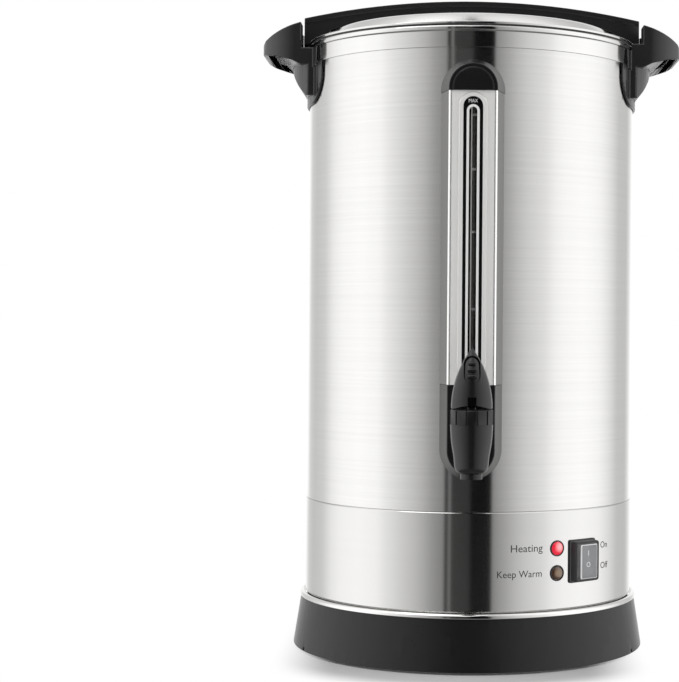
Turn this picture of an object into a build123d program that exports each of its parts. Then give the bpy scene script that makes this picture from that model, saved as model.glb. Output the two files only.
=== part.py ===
from build123d import *
from math import asin, cos, degrees, radians, sin, sqrt
import os

# Electric coffee urn, in millimetres.
#
# The origin is the centre of the base on the table top. +Z is up, the tap
# stands out along -Y and +X is on the right of someone who faces the tap.
# An azimuth is counted in degrees from the front (-Y) towards +X, so 90 is
# the right side and 180 is the back.

# ------------------------------------------------------------ driving sizes

# Fits
snug = 0.05  # between two curved faces that are clamped or pressed together
running = 0.05  # radial clearance of a pin or stem that slides in its hole
free = 0.4  # between pieces that move past each other
seam = 0.6  # visible line between two steel bands

# Base
foot_stand = 1.5  # the skirt ends this far above the table
skirt_height = 37.0
skirt_proud = 3.5  # the skirt's top edge stands out from the tank
skirt_flare = 5.8  # its foot stands out this much further
skirt_wall = 2.6
skirt_shelf = 10.0  # width of the skirt's inward top flange
skirt_ledge = 7.0  # width of the inner ledge above the base plate
skirt_notch_width = 1.8
skirt_notch_height = 3.0
skirt_notch_azimuth = 66.0
trim_height = 3.5
trim_sheet = 1.0
trim_proud = 0.9  # the trim ring stands out from the skirt's top edge
trim_groove = 0.9  # dark groove between the trim ring and the band
band_height = 71.0  # seen height, from the trim ring's lip to the seam
band_proud = 0.6  # the band stands out from the tank by this much
band_sheet = 0.8
plate_clear = 3.8  # the base plate lies this far above the skirt's foot
plate_thickness = 1.2
pad_foot_radius = 9.0
pad_foot_inset = 18.5  # the feet stand this far inside the skirt's top edge
pad_foot_stem = 3.0
pad_foot_head = 4.6
bracket_inset = 23.2  # inside the tank's inner face
bracket_azimuth = 20.0
bracket_width = 16.0
bracket_leg = 14.0
bracket_sheet = 1.6
base_screw_radius = 2.0

# Tank
body_radius = 125.0
tank_wall = 0.8
tank_height = 329.0  # from the seam with the band to the seam with the collar
spigot_depth = 8.0  # the tank's lower edge reaches this far into the band
floor_rise = 4.2  # top of the tank floor above the seam
well_radius = 24.0  # round well in the floor for the pump's foot
well_depth = 9.0

# Collar
collar_height = 15.5
collar_lap = 4.0  # the collar overlaps the tank's top edge
collar_proud = 0.9  # the collar stands out from the tank
bead_height = 3.8
bead_proud = 1.5

# Lid
gasket_thickness = 1.0
gasket_proud = 0.5  # beyond the collar
gasket_lip = 1.0
gasket_depth = 5.5
lid_sheet = 0.8
lid_edge_proud = 1.1  # beyond the collar
lid_edge_height = 1.8
plateau_inset = 18.5  # inside the lid's edge
plateau_rise = 11.0  # plateau above the gasket
shoulder_inset = 11.0  # inside the lid's edge
liner_depth = 12.0
liner_shelf = 10.0

# Lid bar
bar_overhang = 2.2  # the bar's ends reach past the collar's bead
bar_end_rise = 20.4  # top of the bar's ends above the lid's edge
bar_crown_rise = 14.3  # middle of the bar above its ends
bar_depth = 26.0
bar_thickness = 11.0
bar_even_inset = 33.6  # the bar has an even thickness up to here from its ends
bar_knee_inset = 22.1
bar_knee_gap = 2.9  # between the plateau and the bar's knees
bar_leg_thickness = 8.6
bar_lip = 1.2  # the top strip overhangs the bar's faces
bar_lip_height = 3.6
bar_boss_inset = 5.5  # inside the plateau's edge
bar_boss_radius = 5.0
bar_screw_radius = 1.9
tab_length = 5.4  # beyond the bar's end
tab_thickness = 3.0
tab_half_angle = 2.6

# Handles
handle_stand = 34.4  # the grip's face stands out from the tank
handle_half_width = 45.0
handle_corner = 26.0
handle_wall = 3.4
handle_crown_rise = 17.9  # inner top edge above the collar
handle_shoulder_rise = 2.7  # outer top edge above the collar
grip_face_drop = 7.4  # lower edge of the grip's face below the collar's top
grip_bevel = 2.4
grip_bevel_drop = 2.4
grip_tuck = 4.4
grip_tuck_drop = 1.2
arm_drop = 16.5  # underside of the arms below the collar's top
arm_outer_inset = 10.4
arm_outer_rise = 6.6
arm_middle_inset = 23.4
arm_middle_rise = 3.2
arm_root_inset = 30.0
crown_inset = 16.4  # highest part of the curved top, from the grip's face
pocket_wall = 3.0
pocket_roof_rise = 8.0  # the pocket's roof climbs this much towards the tank
pocket_corner_step = 6.0  # the pocket's corners are this much tighter than the wall makes them
tail_stand = 13.3  # the tail's middle stands out from the tank
tail_side_inset = 1.4  # its sides fall back behind the tank's widest point
tail_belly = 4.6
tail_belly_rise = 12.4
tail_drop = 24.4  # the tail's tip below the collar
pad_margin = 14.0  # the pad is wider than the handle on each side
pad_drop = 30.5  # lower edge of the pad below the collar
pad_corner = 22.0
pad_thickness = 1.9
upper_pad_margin = 7.0
upper_pad_lap = 3.0
upper_pad_corner = 1.0
notch_margin = 1.0  # degrees of room on each side of the tab in its notch
groove_room = 0.8  # beyond the tab's tip
groove_gap = 1.0  # above and below the tab
lip_gap = 2.4  # between the bar's end and the handle's inner wall
lip_flat_inset = 0.8  # the lip's two ends are cut flat, this far inside the bar's end
handle_screw_radius = 2.4
handle_screw_drop = 10.0  # below the collar
handle_screw_angle = 8.0  # on each side of the handle's middle
handle_screw_length = 7.5
insert_radius = 3.4
insert_length = 6.0

# Screw heads and washers inside the tank
inner_head_radius = 4.6
inner_head_height = 2.6
washer_radius = 6.0
washer_thickness = 1.4

# Level gauge
gauge_depth = 18.0
gauge_front_width = 33.4
gauge_rear_width = 44.5
gauge_sheet = 0.8
gauge_edge_round = 1.6
gauge_foot = 91.0  # lower end of the cover above the seam with the band
gauge_head = 33.0  # upper end of the cover below the collar
window_width = 13.8
window_foot = 7.0
window_head = 4.1
frame_width = 20.2
frame_proud = 0.8
slot_width = 5.6
slot_margin = 5.6  # from the window's ends to the ends of the sight slot
strip_width = 24.0
strip_thickness = 1.2
strip_gap = 0.1
strip_margin = 2.0
glass_radius = 4.0
glass_wall = 1.2
glass_stand = 9.0  # axis of the glass in front of the tank
glass_socket = 6.0
seal_radius = 5.5
cap_overlap = 0.6
cap_proud = 1.0
cap_rise = 2.0  # centre of the cap's arch above the cover
cap_inset = 3.0  # the cap's raised inner arch stands in from its outline
cap_step = 0.7
cap_boss_length = 9.0
cap_screw_rise = 12.0
cap_screw_radius = 1.8
cap_screw_length = 13.0

# Tap block and manifold
block_rise = 8.0  # centre of the block's round foot above the outlet
block_wall = 2.2
manifold_radius = 6.6
manifold_bore = 3.4
outlet_rise = 37.0  # the tank's outlet above the seam with the band
outlet_radius = 6.0
outlet_flange = 9.5
outlet_reach = 14.0  # the outlet's thread ends this far inside the tank wall
outlet_nut_radius = 12.0
outlet_nut_height = 6.0
shank_rise = 13.0  # the tap's shank above the outlet
shank_radius = 6.0
shank_neck = 7.5
shank_bore = 4.2
shank_flange = 9.5
shank_flange_thickness = 3.0

# Tap
tap_stand = 42.0  # tap axis in front of the gauge cover
spout_drop = 20.7  # the spout's tip below the shank
spout_radius = 7.4
spout_lip = 3.6
spout_bore = 5.2
barrel_rise = 16.0  # above the shank
barrel_radius = 14.45
chamber_radius = 8.2
chamber_drop = 13.0  # below the shank
seat_height = 1.0
seat_land = 1.6
neck_radius = 12.0
neck_height = 6.0
bonnet_radius = 14.9
bonnet_height = 10.3
bonnet_plate = 2.5
bonnet_sides = 12
stem_radius = 2.6
cup_radius = 6.8
cup_height = 9.0
lever_length = 40.6
lever_radius = 14.0
lever_gap = 0.4  # between the lever's foot and the bonnet
cam_radius = 17.0
cam_offset = 5.0  # the cam's centre stands this far in front of the pin
tongue_thickness = 5.0
tongue_half_depth = 4.0
lever_swing = 40.0
pin_radius = 1.5
recess_width = 11.3
recess_height = 18.6
recess_depth = 0.7
recess_rise = 26.1  # above the lever's foot
rib_height = 1.5
rib_pitch = 4.4
rib_width = 6.6
spring_wire = 0.5
spring_radius = 4.4
spring_turns = 8

# Lamps
lamp_azimuth = 30.0
heat_lamp_rise = 44.4  # above the trim ring
warm_lamp_rise = 26.7
bezel_radius = 5.7
bezel_height = 1.6
bezel_shelf = 0.3
lens_radius = 4.9
lens_height = 3.4
lens_round = 1.8
lamp_stem = 4.0
lamp_length = 9.0
lamp_nut_radius = 7.4
lamp_nut_height = 3.0

# Switch
switch_azimuth = 40.0
switch_rise = 34.4  # above the trim ring
switch_width = 25.5
switch_length = 31.0
switch_bezel = 2.0
switch_body_width = 21.0
switch_body_length = 27.0
switch_body_depth = 22.0
rocker_width = 17.4
rocker_length = 23.0
rocker_crown = 3.6
rocker_valley = 1.8
rocker_belly = 4.5
rocker_pivot_depth = 0.5
rocker_tilt = 8.0
trunnion_radius = 1.2
trunnion_length = 1.2
cover_width = 23.2
cover_length = 28.8
cover_wall = 0.8
cover_rise = 7.0

# Power inlet
inlet_rise = 34.0  # above the trim ring
inlet_width = 48.0
inlet_length = 26.0
inlet_flange = 2.6
inlet_hole_width = 24.2
inlet_hole_length = 17.2
inlet_hole_depth = 16.0
inlet_hole_chamfer = 4.0
inlet_wall = 2.0
inlet_screw_pitch = 40.0
inlet_screw_radius = 1.7
blade_width = 2.0
blade_height = 4.0
blade_pitch = 14.0
blade_length = 11.0
blade_tail = 9.0

# Heating
element_tube = 4.0
warm_ring_inset = 36.2  # inside the tank's inner face
ring_spacing = 36.0  # between the two rings
ring_arc = 320.0
element_bend = 7.0
element_leg = 9.0
strap_width = 8.0
strap_thickness = 2.0
strap_inner_margin = 12.0
strap_outer_margin = 8.0
sensor_radius = 9.0
sensor_height = 10.0
sensor_tab = 6.0
thermostat_azimuth = 120.0
cutout_azimuth = 240.0
terminal_width = 35.0
terminal_depth = 20.0
terminal_height = 14.0
terminal_stand = 60.0
terminal_hole = 2.2
lead_radius = 1.2
lead_bend = 5.0
lead_rise = 43.5  # the leads from the terminals cross this far above the base plate

# Percolator
tube_radius = 5.0
tube_wall = 0.8
pump_foot_radius = 21.0
pump_foot_height = 26.0
pump_foot_sheet = 1.0
basket_radius = 95.0
basket_drop = 67.5  # the basket's floor below the collar's top
basket_height = 60.0
basket_sheet = 0.8
basket_sleeve = 8.0
basket_hole_radius = 1.6
cover_hole_radius = 1.2
tube_margin = 8.0  # the tube ends this far above the basket's cover

# ----------------------------------------------------------- derived places

skirt_top = foot_stand + skirt_height
trim_top = skirt_top + trim_height
skirt_top_radius = body_radius + skirt_proud
skirt_foot_radius = skirt_top_radius + skirt_flare
pad_foot_circle = skirt_top_radius - pad_foot_inset
trim_radius = skirt_top_radius + trim_proud
band_bottom = skirt_top + trim_sheet
band_top = trim_top + band_height
band_radius = body_radius + band_proud
band_inner = band_radius - band_sheet
plate_bottom = foot_stand + plate_clear
plate_top = plate_bottom + plate_thickness
tank_seam = band_top + seam
tank_inner = body_radius - tank_wall
bracket_circle = tank_inner - bracket_inset
floor_top = band_top + floor_rise
floor_under = floor_top - tank_wall
well_floor = floor_top - well_depth
collar_bottom = band_top + tank_height
collar_top = collar_bottom + collar_height
tank_top = collar_bottom + collar_lap
collar_radius = body_radius + collar_proud
bead_radius = collar_radius + bead_proud
bead_bottom = collar_top - bead_height
gasket_radius = collar_radius + gasket_proud
gasket_top = collar_top + gasket_thickness
gasket_lip_radius = tank_inner - free
flange_top = gasket_top + lid_sheet
lid_edge_top = gasket_top + lid_edge_height
plateau_top = gasket_top + plateau_rise
lid_edge_radius = collar_radius + lid_edge_proud
plateau_radius = lid_edge_radius - plateau_inset
shoulder_radius = lid_edge_radius - shoulder_inset
bar_reach = bead_radius + bar_overhang
bar_end_height = lid_edge_top + bar_end_rise
bar_crown_height = bar_end_height + bar_crown_rise
bar_span = bar_reach - bar_even_inset
bar_knee_reach = bar_reach - bar_knee_inset
bar_knee_height = plateau_top + bar_knee_gap
bar_leg_reach = bar_reach - bar_leg_thickness
bar_boss_reach = plateau_radius - bar_boss_inset
tab_reach = bar_reach + tab_length
liner_radius = gasket_lip_radius - gasket_lip - free + 0.1
tab_top = collar_top
tab_bottom = tab_top - tab_thickness
hook_radius = bead_radius + free + 0.1
groove_radius = tab_reach + groove_room
groove_bottom = tab_bottom - groove_gap
groove_top = tab_top + groove_gap
lip_radius = bar_reach + lip_gap
lip_flat_reach = bar_reach - lip_flat_inset
handle_reach = body_radius + handle_stand
handle_crown = collar_top + handle_crown_rise
handle_shoulder = collar_top + handle_shoulder_rise
handle_grip_bottom = collar_top - grip_face_drop
handle_arm_bottom = collar_top - arm_drop
handle_screw_height = collar_bottom - handle_screw_drop
tail_reach = body_radius + tail_stand
tail_side_reach = body_radius - tail_side_inset
tail_tip = collar_bottom - tail_drop
pad_half_width = handle_half_width + pad_margin
pad_upper_half_width = handle_half_width + upper_pad_margin
pad_bottom = collar_bottom - pad_drop
gauge_bottom = band_top + gauge_foot
gauge_top = collar_bottom - gauge_head
window_bottom = gauge_bottom + window_foot
window_top = gauge_top - window_head
cap_centre = gauge_top + cap_rise
cap_screw_height = gauge_top + cap_screw_rise
outlet_height = band_top + outlet_rise
block_centre = outlet_height + block_rise
shank_height = outlet_height + shank_rise
gauge_front = body_radius + gauge_depth
gauge_rear = sqrt(body_radius**2 - (gauge_rear_width / 2) ** 2)
flank_slope = (gauge_rear_width - gauge_front_width) / 2 / (gauge_front - gauge_rear)
inside_wall = tank_inner - 6.0  # outer pieces are drawn this deep, then trimmed to the tank
glass_axis = body_radius + glass_stand
manifold_top = gauge_bottom - 2.4
glass_bottom = manifold_top - glass_socket + free
cap_boss_bottom = gauge_top - cap_boss_length
glass_top = cap_boss_bottom + glass_socket - free
tap_reach = gauge_front + tap_stand
spout_tip = shank_height - spout_drop
barrel_top = shank_height + barrel_rise
chamber_floor = shank_height - chamber_drop
neck_top = barrel_top + neck_height
bonnet_top = barrel_top + bonnet_height
lever_foot = bonnet_top + lever_gap
pin_height = lever_foot + cam_radius
recess_centre = lever_foot + recess_rise
heat_lamp_height = trim_top + heat_lamp_rise
warm_lamp_height = trim_top + warm_lamp_rise
switch_height = trim_top + switch_rise
inlet_height = trim_top + inlet_rise
seat_top = chamber_floor + seat_height
cup_top = seat_top + cup_height
ring_height = floor_under - element_tube
strap_top = ring_height - element_tube
warm_ring = tank_inner - warm_ring_inset
heat_ring = warm_ring - ring_spacing
strap_inner = heat_ring - strap_inner_margin
strap_outer = warm_ring + strap_outer_margin
sensor_circle = (heat_ring + warm_ring) / 2
lead_level = plate_top + lead_rise
basket_floor = collar_top - basket_drop
basket_top = basket_floor + basket_height

right, back, left, front = 90.0, 180.0, 270.0, 0.0

os.makedirs("parts", exist_ok=True)


# ------------------------------------------------------------------ helpers


def wall_plane(azimuth, height, radius):
    """Plane that touches an upright cylinder: x runs along the wall, y up, z outwards."""
    turn = radians(azimuth)
    return Plane(
        origin=(radius * sin(turn), -radius * cos(turn), height),
        x_dir=(cos(turn), sin(turn), 0),
        z_dir=(sin(turn), -cos(turn), 0),
    )


def inner_plane(azimuth, height, radius):
    """The same plane turned over, so that its normal points at the urn's axis."""
    turn = radians(azimuth)
    return Plane(
        origin=(radius * sin(turn), -radius * cos(turn), height),
        x_dir=(-cos(turn), -sin(turn), 0),
        z_dir=(-sin(turn), cos(turn), 0),
    )


def radial_plane(azimuth):
    """Upright plane through the urn's axis: x is the radius, y the height."""
    turn = radians(azimuth)
    return Plane(
        origin=(0, 0, 0),
        x_dir=(sin(turn), -cos(turn), 0),
        z_dir=(-cos(turn), -sin(turn), 0),
    )


def lathe(points):
    """Solid turned about the urn's axis from a closed outline of (radius, height) points."""
    with BuildPart() as turned:
        with BuildSketch(Plane.XZ):
            with BuildLine():
                Polyline(*points, close=True)
            make_face()
        revolve(axis=Axis.Z)
    return turned.part


def drum(radius, low, high):
    """Upright cylinder about the urn's axis."""
    return lathe([(0, low), (radius, low), (radius, high), (0, high)])


def sector(inner, outer, low, high, start, end):
    """Part of a ring about the urn's axis, between two angles counted from +X."""
    with BuildPart() as wedge:
        with BuildSketch(Plane.XZ):
            with Locations(((inner + outer) / 2, (low + high) / 2)):
                Rectangle(outer - inner, high - low)
        revolve(axis=Axis.Z, revolution_arc=end - start)
    return wedge.part.rotate(Axis.Z, start)


def screw(seat, head_radius, head_height, shank_radius, length):
    """Screw whose round head stands on the seat plane and whose shank runs below it."""
    with BuildPart() as fastener:
        with BuildSketch(seat):
            Circle(head_radius)
        extrude(amount=head_height, taper=12)
        with BuildSketch(seat):
            Circle(shank_radius)
        extrude(amount=-length)
    return fastener.part


def washer(seat, hole_radius, outer_radius, thickness, limit):
    """Sealing washer below the seat plane, trimmed to the curved wall that it lies on."""
    with BuildPart() as ring:
        with BuildSketch(seat):
            Circle(outer_radius)
            Circle(hole_radius, mode=Mode.SUBTRACT)
        extrude(amount=-thickness)
        add(limit, mode=Mode.INTERSECT)
    return ring.part


def housing_half_width(depth, inset):
    """Half the width of the gauge housing at a depth in front of the urn's axis."""
    flank = gauge_front_width / 2 + flank_slope * (gauge_front - depth)
    return flank - inset * sqrt(1 + flank_slope**2)


def housing_section(inset, rear):
    """Corners of the housing's level section, from its rear to its front and back again."""
    near = gauge_front - inset
    wide = housing_half_width(rear, inset)
    narrow = housing_half_width(near, inset)
    return [(-wide, -rear), (-narrow, -near), (narrow, -near), (wide, -rear)]


def arch(depth, half_width, centre, flat):
    """Face across the housing: a half circle about the centre, closed at the flat's height."""
    crown = centre - half_width if flat > centre else centre + half_width
    with BuildSketch(Plane.XZ.offset(depth)) as face:
        with BuildLine():
            ThreePointArc((-half_width, centre), (0, crown), (half_width, centre))
            Polyline((half_width, centre), (half_width, flat), (-half_width, flat), (-half_width, centre))
        make_face()
    return face.sketch


# Solids that the outer pieces are trimmed to, so that they sit on the steel
tank_skin = drum(body_radius + snug, band_bottom, collar_bottom + collar_lap)
tank_hollow = drum(tank_inner - snug, floor_top, tank_top)
band_skin = drum(band_radius + snug, band_bottom, band_top)


# --------------------------------------------------------------------- base

# Flared black moulding: its top flange carries the steel, its ledge meets the base plate
skirt_inner_top = skirt_top_radius - skirt_wall
skirt_inner_foot = skirt_foot_radius - skirt_wall
with BuildPart() as base_skirt:
    with BuildSketch(Plane.XZ):
        with BuildLine():
            Polyline(
                (skirt_foot_radius, foot_stand),
                (skirt_top_radius, skirt_top),
                (skirt_top_radius - skirt_shelf, skirt_top),
                (skirt_top_radius - skirt_shelf, skirt_top - skirt_wall),
                (skirt_inner_top, skirt_top - skirt_wall),
                (skirt_inner_foot, plate_top + skirt_wall),
                (skirt_inner_foot - skirt_ledge, plate_top + skirt_wall),
                (skirt_inner_foot - skirt_ledge, plate_top),
                (skirt_inner_foot, plate_top),
                (skirt_inner_foot, foot_stand),
                close=True,
            )
        make_face()
    revolve(axis=Axis.Z)
    for azimuth in (skirt_notch_azimuth, -skirt_notch_azimuth):
        for half_turn in (0, back):
            notch_radius = skirt_foot_radius - skirt_wall / 2
            with BuildSketch(wall_plane(azimuth + half_turn, foot_stand, notch_radius)):
                Rectangle(skirt_notch_width, skirt_notch_height * 2)
            extrude(amount=skirt_wall, mode=Mode.SUBTRACT)
base_skirt.part.label = "base_skirt"
export_step(base_skirt.part, "parts/base_skirt.step")

# Bright ring on the skirt; its shelf carries the band, with a dark groove between lip and band
with BuildPart() as trim_ring:
    trim_lip = band_radius + trim_groove
    with BuildSketch(Plane.XZ):
        with BuildLine():
            Polyline(
                (skirt_top_radius - skirt_shelf, skirt_top),
                (trim_radius, skirt_top),
                (trim_radius + 0.3, skirt_top + 1.2),
                (trim_radius - 0.2, trim_top - 0.8),
                (trim_radius - 1.0, trim_top),
                (trim_lip, trim_top),
                (trim_lip, band_bottom),
                (skirt_top_radius - skirt_shelf, band_bottom),
                close=True,
            )
        make_face()
    revolve(axis=Axis.Z)
trim_ring.part.label = "trim_ring"
export_step(trim_ring.part, "parts/trim_ring.step")

# Base plate under the skirt's ledge, with holes for the feet and the base screws
with BuildPart() as base_plate:
    with BuildSketch(Plane.XY.offset(plate_bottom)):
        Circle(skirt_inner_foot - free)
        with PolarLocations(pad_foot_circle, 4, 0):
            Circle(pad_foot_stem + running, mode=Mode.SUBTRACT)
        with PolarLocations(bracket_circle, 4, bracket_azimuth):
            Circle(base_screw_radius + running, mode=Mode.SUBTRACT)
    extrude(amount=plate_thickness)
base_plate.part.label = "base_plate"
export_step(base_plate.part, "parts/base_plate.step")

# Push-in rubber feet
with BuildPart() as rubber_feet:
    with BuildSketch(Plane.XY):
        with PolarLocations(pad_foot_circle, 4, 0):
            Circle(pad_foot_radius)
    extrude(amount=plate_bottom)
    with BuildSketch(Plane.XY.offset(plate_bottom)):
        with PolarLocations(pad_foot_circle, 4, 0):
            Circle(pad_foot_stem)
    extrude(amount=plate_thickness)
    with BuildSketch(Plane.XY.offset(plate_top)):
        with PolarLocations(pad_foot_circle, 4, 0):
            Circle(pad_foot_head)
    extrude(amount=pad_foot_stem, taper=20)
rubber_feet.part.label = "rubber_feet"
export_step(rubber_feet.part, "parts/rubber_feet.step")

# Brackets that hang from the tank floor; the base screws pull the plate up to them
bracket_inner = bracket_circle - bracket_leg / 2
bracket_outer = bracket_circle + bracket_leg / 2
with BuildPart() as support_brackets:
    for corner in range(4):
        with BuildSketch(radial_plane(bracket_azimuth + 90 * corner)):
            with BuildLine():
                Polyline(
                    (bracket_inner, plate_top),
                    (bracket_outer, plate_top),
                    (bracket_outer, floor_under),
                    (bracket_inner, floor_under),
                    (bracket_inner, floor_under - bracket_sheet),
                    (bracket_outer - bracket_sheet, floor_under - bracket_sheet),
                    (bracket_outer - bracket_sheet, plate_top + bracket_sheet),
                    (bracket_inner, plate_top + bracket_sheet),
                    close=True,
                )
            make_face()
        extrude(amount=bracket_width / 2, both=True)
    with BuildSketch(Plane.XY.offset(plate_top)):
        with PolarLocations(bracket_circle, 4, bracket_azimuth):
            Circle(base_screw_radius)
    extrude(amount=bracket_sheet, mode=Mode.SUBTRACT)
support_brackets.part.label = "support_brackets"
export_step(support_brackets.part, "parts/support_brackets.step")

with BuildPart() as base_screws:
    for corner in range(4):
        bracket_plane = radial_plane(bracket_azimuth + 90 * corner)
        spot = bracket_plane.from_local_coords((bracket_circle, plate_bottom, 0))
        seat = Plane(origin=spot, x_dir=(1, 0, 0), z_dir=(0, 0, -1))
        add(screw(seat, base_screw_radius * 1.9, 2.0, base_screw_radius, plate_thickness + 6))
base_screws.part.label = "base_screws"
export_step(base_screws.part, "parts/base_screws.step")

# Steel band that carries the controls
lamp_planes = [
    wall_plane(lamp_azimuth, heat_lamp_height, band_radius),
    wall_plane(lamp_azimuth, warm_lamp_height, band_radius),
]
switch_plane = wall_plane(switch_azimuth, switch_height, band_radius)
inlet_plane = wall_plane(back, inlet_height, band_radius)
inlet_body_width = inlet_hole_width + 2 * inlet_wall
inlet_body_length = inlet_hole_length + 2 * inlet_wall
with BuildPart() as base_band:
    with BuildSketch(Plane.XY.offset(band_bottom)):
        Circle(band_radius)
        Circle(band_inner, mode=Mode.SUBTRACT)
    extrude(amount=band_top - band_bottom)
    for plane in lamp_planes:
        with BuildSketch(plane):
            Circle(lamp_stem + free / 2)
        extrude(amount=4, both=True, mode=Mode.SUBTRACT)
    with BuildSketch(switch_plane):
        Rectangle(switch_body_width + free, switch_body_length + free)
    extrude(amount=6, both=True, mode=Mode.SUBTRACT)
    with BuildSketch(inlet_plane):
        Rectangle(inlet_body_width + free, inlet_body_length + free)
        with GridLocations(inlet_screw_pitch, 0, 2, 1):
            Circle(inlet_screw_radius + running)
    extrude(amount=8, both=True, mode=Mode.SUBTRACT)
base_band.part.label = "base_band"
export_step(base_band.part, "parts/base_band.step")

# --------------------------------------------------------------------- tank

handle_screw_spots = [
    (side + offset, handle_screw_height)
    for side in (right, left)
    for offset in (-handle_screw_angle, handle_screw_angle)
]
head_seat = tank_inner - washer_thickness
with BuildPart() as tank:
    spigot = band_inner - snug
    with BuildSketch(Plane.XZ):
        with BuildLine():
            Polyline(
                (spigot, tank_seam - spigot_depth),
                (spigot, tank_seam - 0.3),
                (body_radius, tank_seam),
                (body_radius, tank_top),
                (tank_inner, tank_top),
                (tank_inner, floor_top),
                (well_radius, floor_top),
                (well_radius, well_floor),
                (0, well_floor),
                (0, well_floor - tank_wall),
                (well_radius + tank_wall, well_floor - tank_wall),
                (well_radius + tank_wall, floor_under),
                (spigot - tank_wall, floor_under),
                (spigot - tank_wall, tank_seam - spigot_depth),
                close=True,
            )
        make_face()
    revolve(axis=Axis.Z)
    for azimuth, height in handle_screw_spots:
        with BuildSketch(wall_plane(azimuth, height, body_radius)):
            Circle(handle_screw_radius + running)
        extrude(amount=5, both=True, mode=Mode.SUBTRACT)
    with BuildSketch(wall_plane(front, cap_screw_height, body_radius)):
        Circle(cap_screw_radius + running)
    extrude(amount=5, both=True, mode=Mode.SUBTRACT)
    with BuildSketch(wall_plane(front, outlet_height, body_radius)):
        Circle(outlet_radius + running)
    extrude(amount=5, both=True, mode=Mode.SUBTRACT)
tank.part.label = "tank"
export_step(tank.part, "parts/tank.step")

# Collar round the tank's top edge, ending in the rolled bead that the lid rests on
with BuildPart() as tank_collar:
    bead_middle = (bead_bottom + collar_top) / 2
    collar_inner = body_radius + snug
    with BuildSketch(Plane.XZ):
        with BuildLine():
            Polyline(
                (bead_radius - 0.9, collar_top),
                (tank_inner + 0.3, collar_top),
                (tank_inner, collar_top - 0.3),
                (tank_inner, tank_top + snug),
                (collar_inner, tank_top + snug),
                (collar_inner, collar_bottom),
                (collar_radius, collar_bottom),
                (collar_radius, bead_bottom),
            )
            ThreePointArc(
                (collar_radius, bead_bottom), (bead_radius, bead_middle), (bead_radius - 0.9, collar_top)
            )
        make_face()
    revolve(axis=Axis.Z)
tank_collar.part.label = "tank_collar"
export_step(tank_collar.part, "parts/tank_collar.step")

# ------------------------------------------------------------------ heating


def ring_leg(ring_radius, turn, way):
    """Points down one end of a heater: on the ring, through the bend, and the leg's tip."""
    on_ring = Vector(ring_radius * cos(turn), ring_radius * sin(turn), ring_height)
    along = Vector(-sin(turn), cos(turn), 0) * way
    down = Vector(0, 0, -element_bend)
    middle = on_ring + along * element_bend * sin(radians(45)) + down * (1 - cos(radians(45)))
    bend_end = on_ring + along * element_bend + down
    return on_ring, middle, bend_end, bend_end - Vector(0, 0, element_leg)


def ring_element(ring_radius):
    """Tubular heater: an open ring against the floor whose two ends turn down."""
    halfway = radians(ring_arc / 2)
    start, start_bend, start_top, start_tip = ring_leg(ring_radius, 0, -1)
    end, end_bend, end_top, end_tip = ring_leg(ring_radius, radians(ring_arc), 1)
    with BuildPart() as heater:
        with BuildLine() as spine:
            Line(start_tip, start_top)
            ThreePointArc(start_top, start_bend, start)
            ThreePointArc(start, (ring_radius * cos(halfway), ring_radius * sin(halfway), ring_height), end)
            ThreePointArc(end, end_bend, end_top)
            Line(end_top, end_tip)
        with BuildSketch(Plane(origin=start_tip, z_dir=(0, 0, 1))):
            Circle(element_tube)
        sweep(path=spine.line)
    return heater.part


with BuildPart() as heating_element:
    add(ring_element(heat_ring))
heating_element.part.label = "heating_element"
export_step(heating_element.part, "parts/heating_element.step")

with BuildPart() as keep_warm_element:
    add(ring_element(warm_ring))
keep_warm_element.part.label = "keep_warm_element"
export_step(keep_warm_element.part, "parts/keep_warm_element.step")

# Straps that clamp both rings to the floor, each hung from one welded stud
strap_azimuths = (30, 150, 270)
with BuildPart() as element_straps:
    for azimuth in strap_azimuths:
        with BuildSketch(radial_plane(azimuth)):
            with Locations(((strap_inner + strap_outer) / 2, strap_top - strap_thickness / 2)):
                Rectangle(strap_outer - strap_inner, strap_thickness)
            with Locations((sensor_circle, (strap_top + floor_under) / 2)):
                Rectangle(2 * lamp_stem, floor_under - strap_top)
        extrude(amount=strap_width / 2, both=True)
element_straps.part.label = "element_straps"
export_step(element_straps.part, "parts/element_straps.step")


def floor_sensor(azimuth):
    """Round temperature switch under the floor with two flat contact tabs below it."""
    centre = radial_plane(azimuth).from_local_coords((sensor_circle, floor_under, 0))
    seat = Plane(origin=centre, x_dir=(1, 0, 0), z_dir=(0, 0, -1))
    with BuildPart() as sensor:
        with BuildSketch(seat):
            Circle(sensor_radius)
        extrude(amount=sensor_height)
        with BuildSketch(seat.offset(sensor_height)):
            with GridLocations(sensor_radius, 0, 2, 1):
                Rectangle(1.0, 5.0)
        extrude(amount=sensor_tab)
    return sensor.part


with BuildPart() as thermostat:
    add(floor_sensor(thermostat_azimuth))
thermostat.part.label = "thermostat"
export_step(thermostat.part, "parts/thermostat.step")

with BuildPart() as thermal_cutout:
    add(floor_sensor(cutout_azimuth))
thermal_cutout.part.label = "thermal_cutout"
export_step(thermal_cutout.part, "parts/thermal_cutout.step")

with BuildPart() as terminal_block:
    with BuildSketch(Plane.XY.offset(plate_top)):
        with Locations((0, terminal_stand)):
            Rectangle(terminal_width, terminal_depth)
    extrude(amount=terminal_height)
    with BuildSketch(Plane.XY.offset(plate_top + terminal_height)):
        with Locations((0, terminal_stand)):
            with GridLocations(terminal_width / 5, 0, 5, 1):
                Circle(terminal_hole)
    extrude(amount=-terminal_height / 2, mode=Mode.SUBTRACT)
terminal_block.part.label = "terminal_block"
export_step(terminal_block.part, "parts/terminal_block.step")

# ----------------------------------------------------------------- controls

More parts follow.
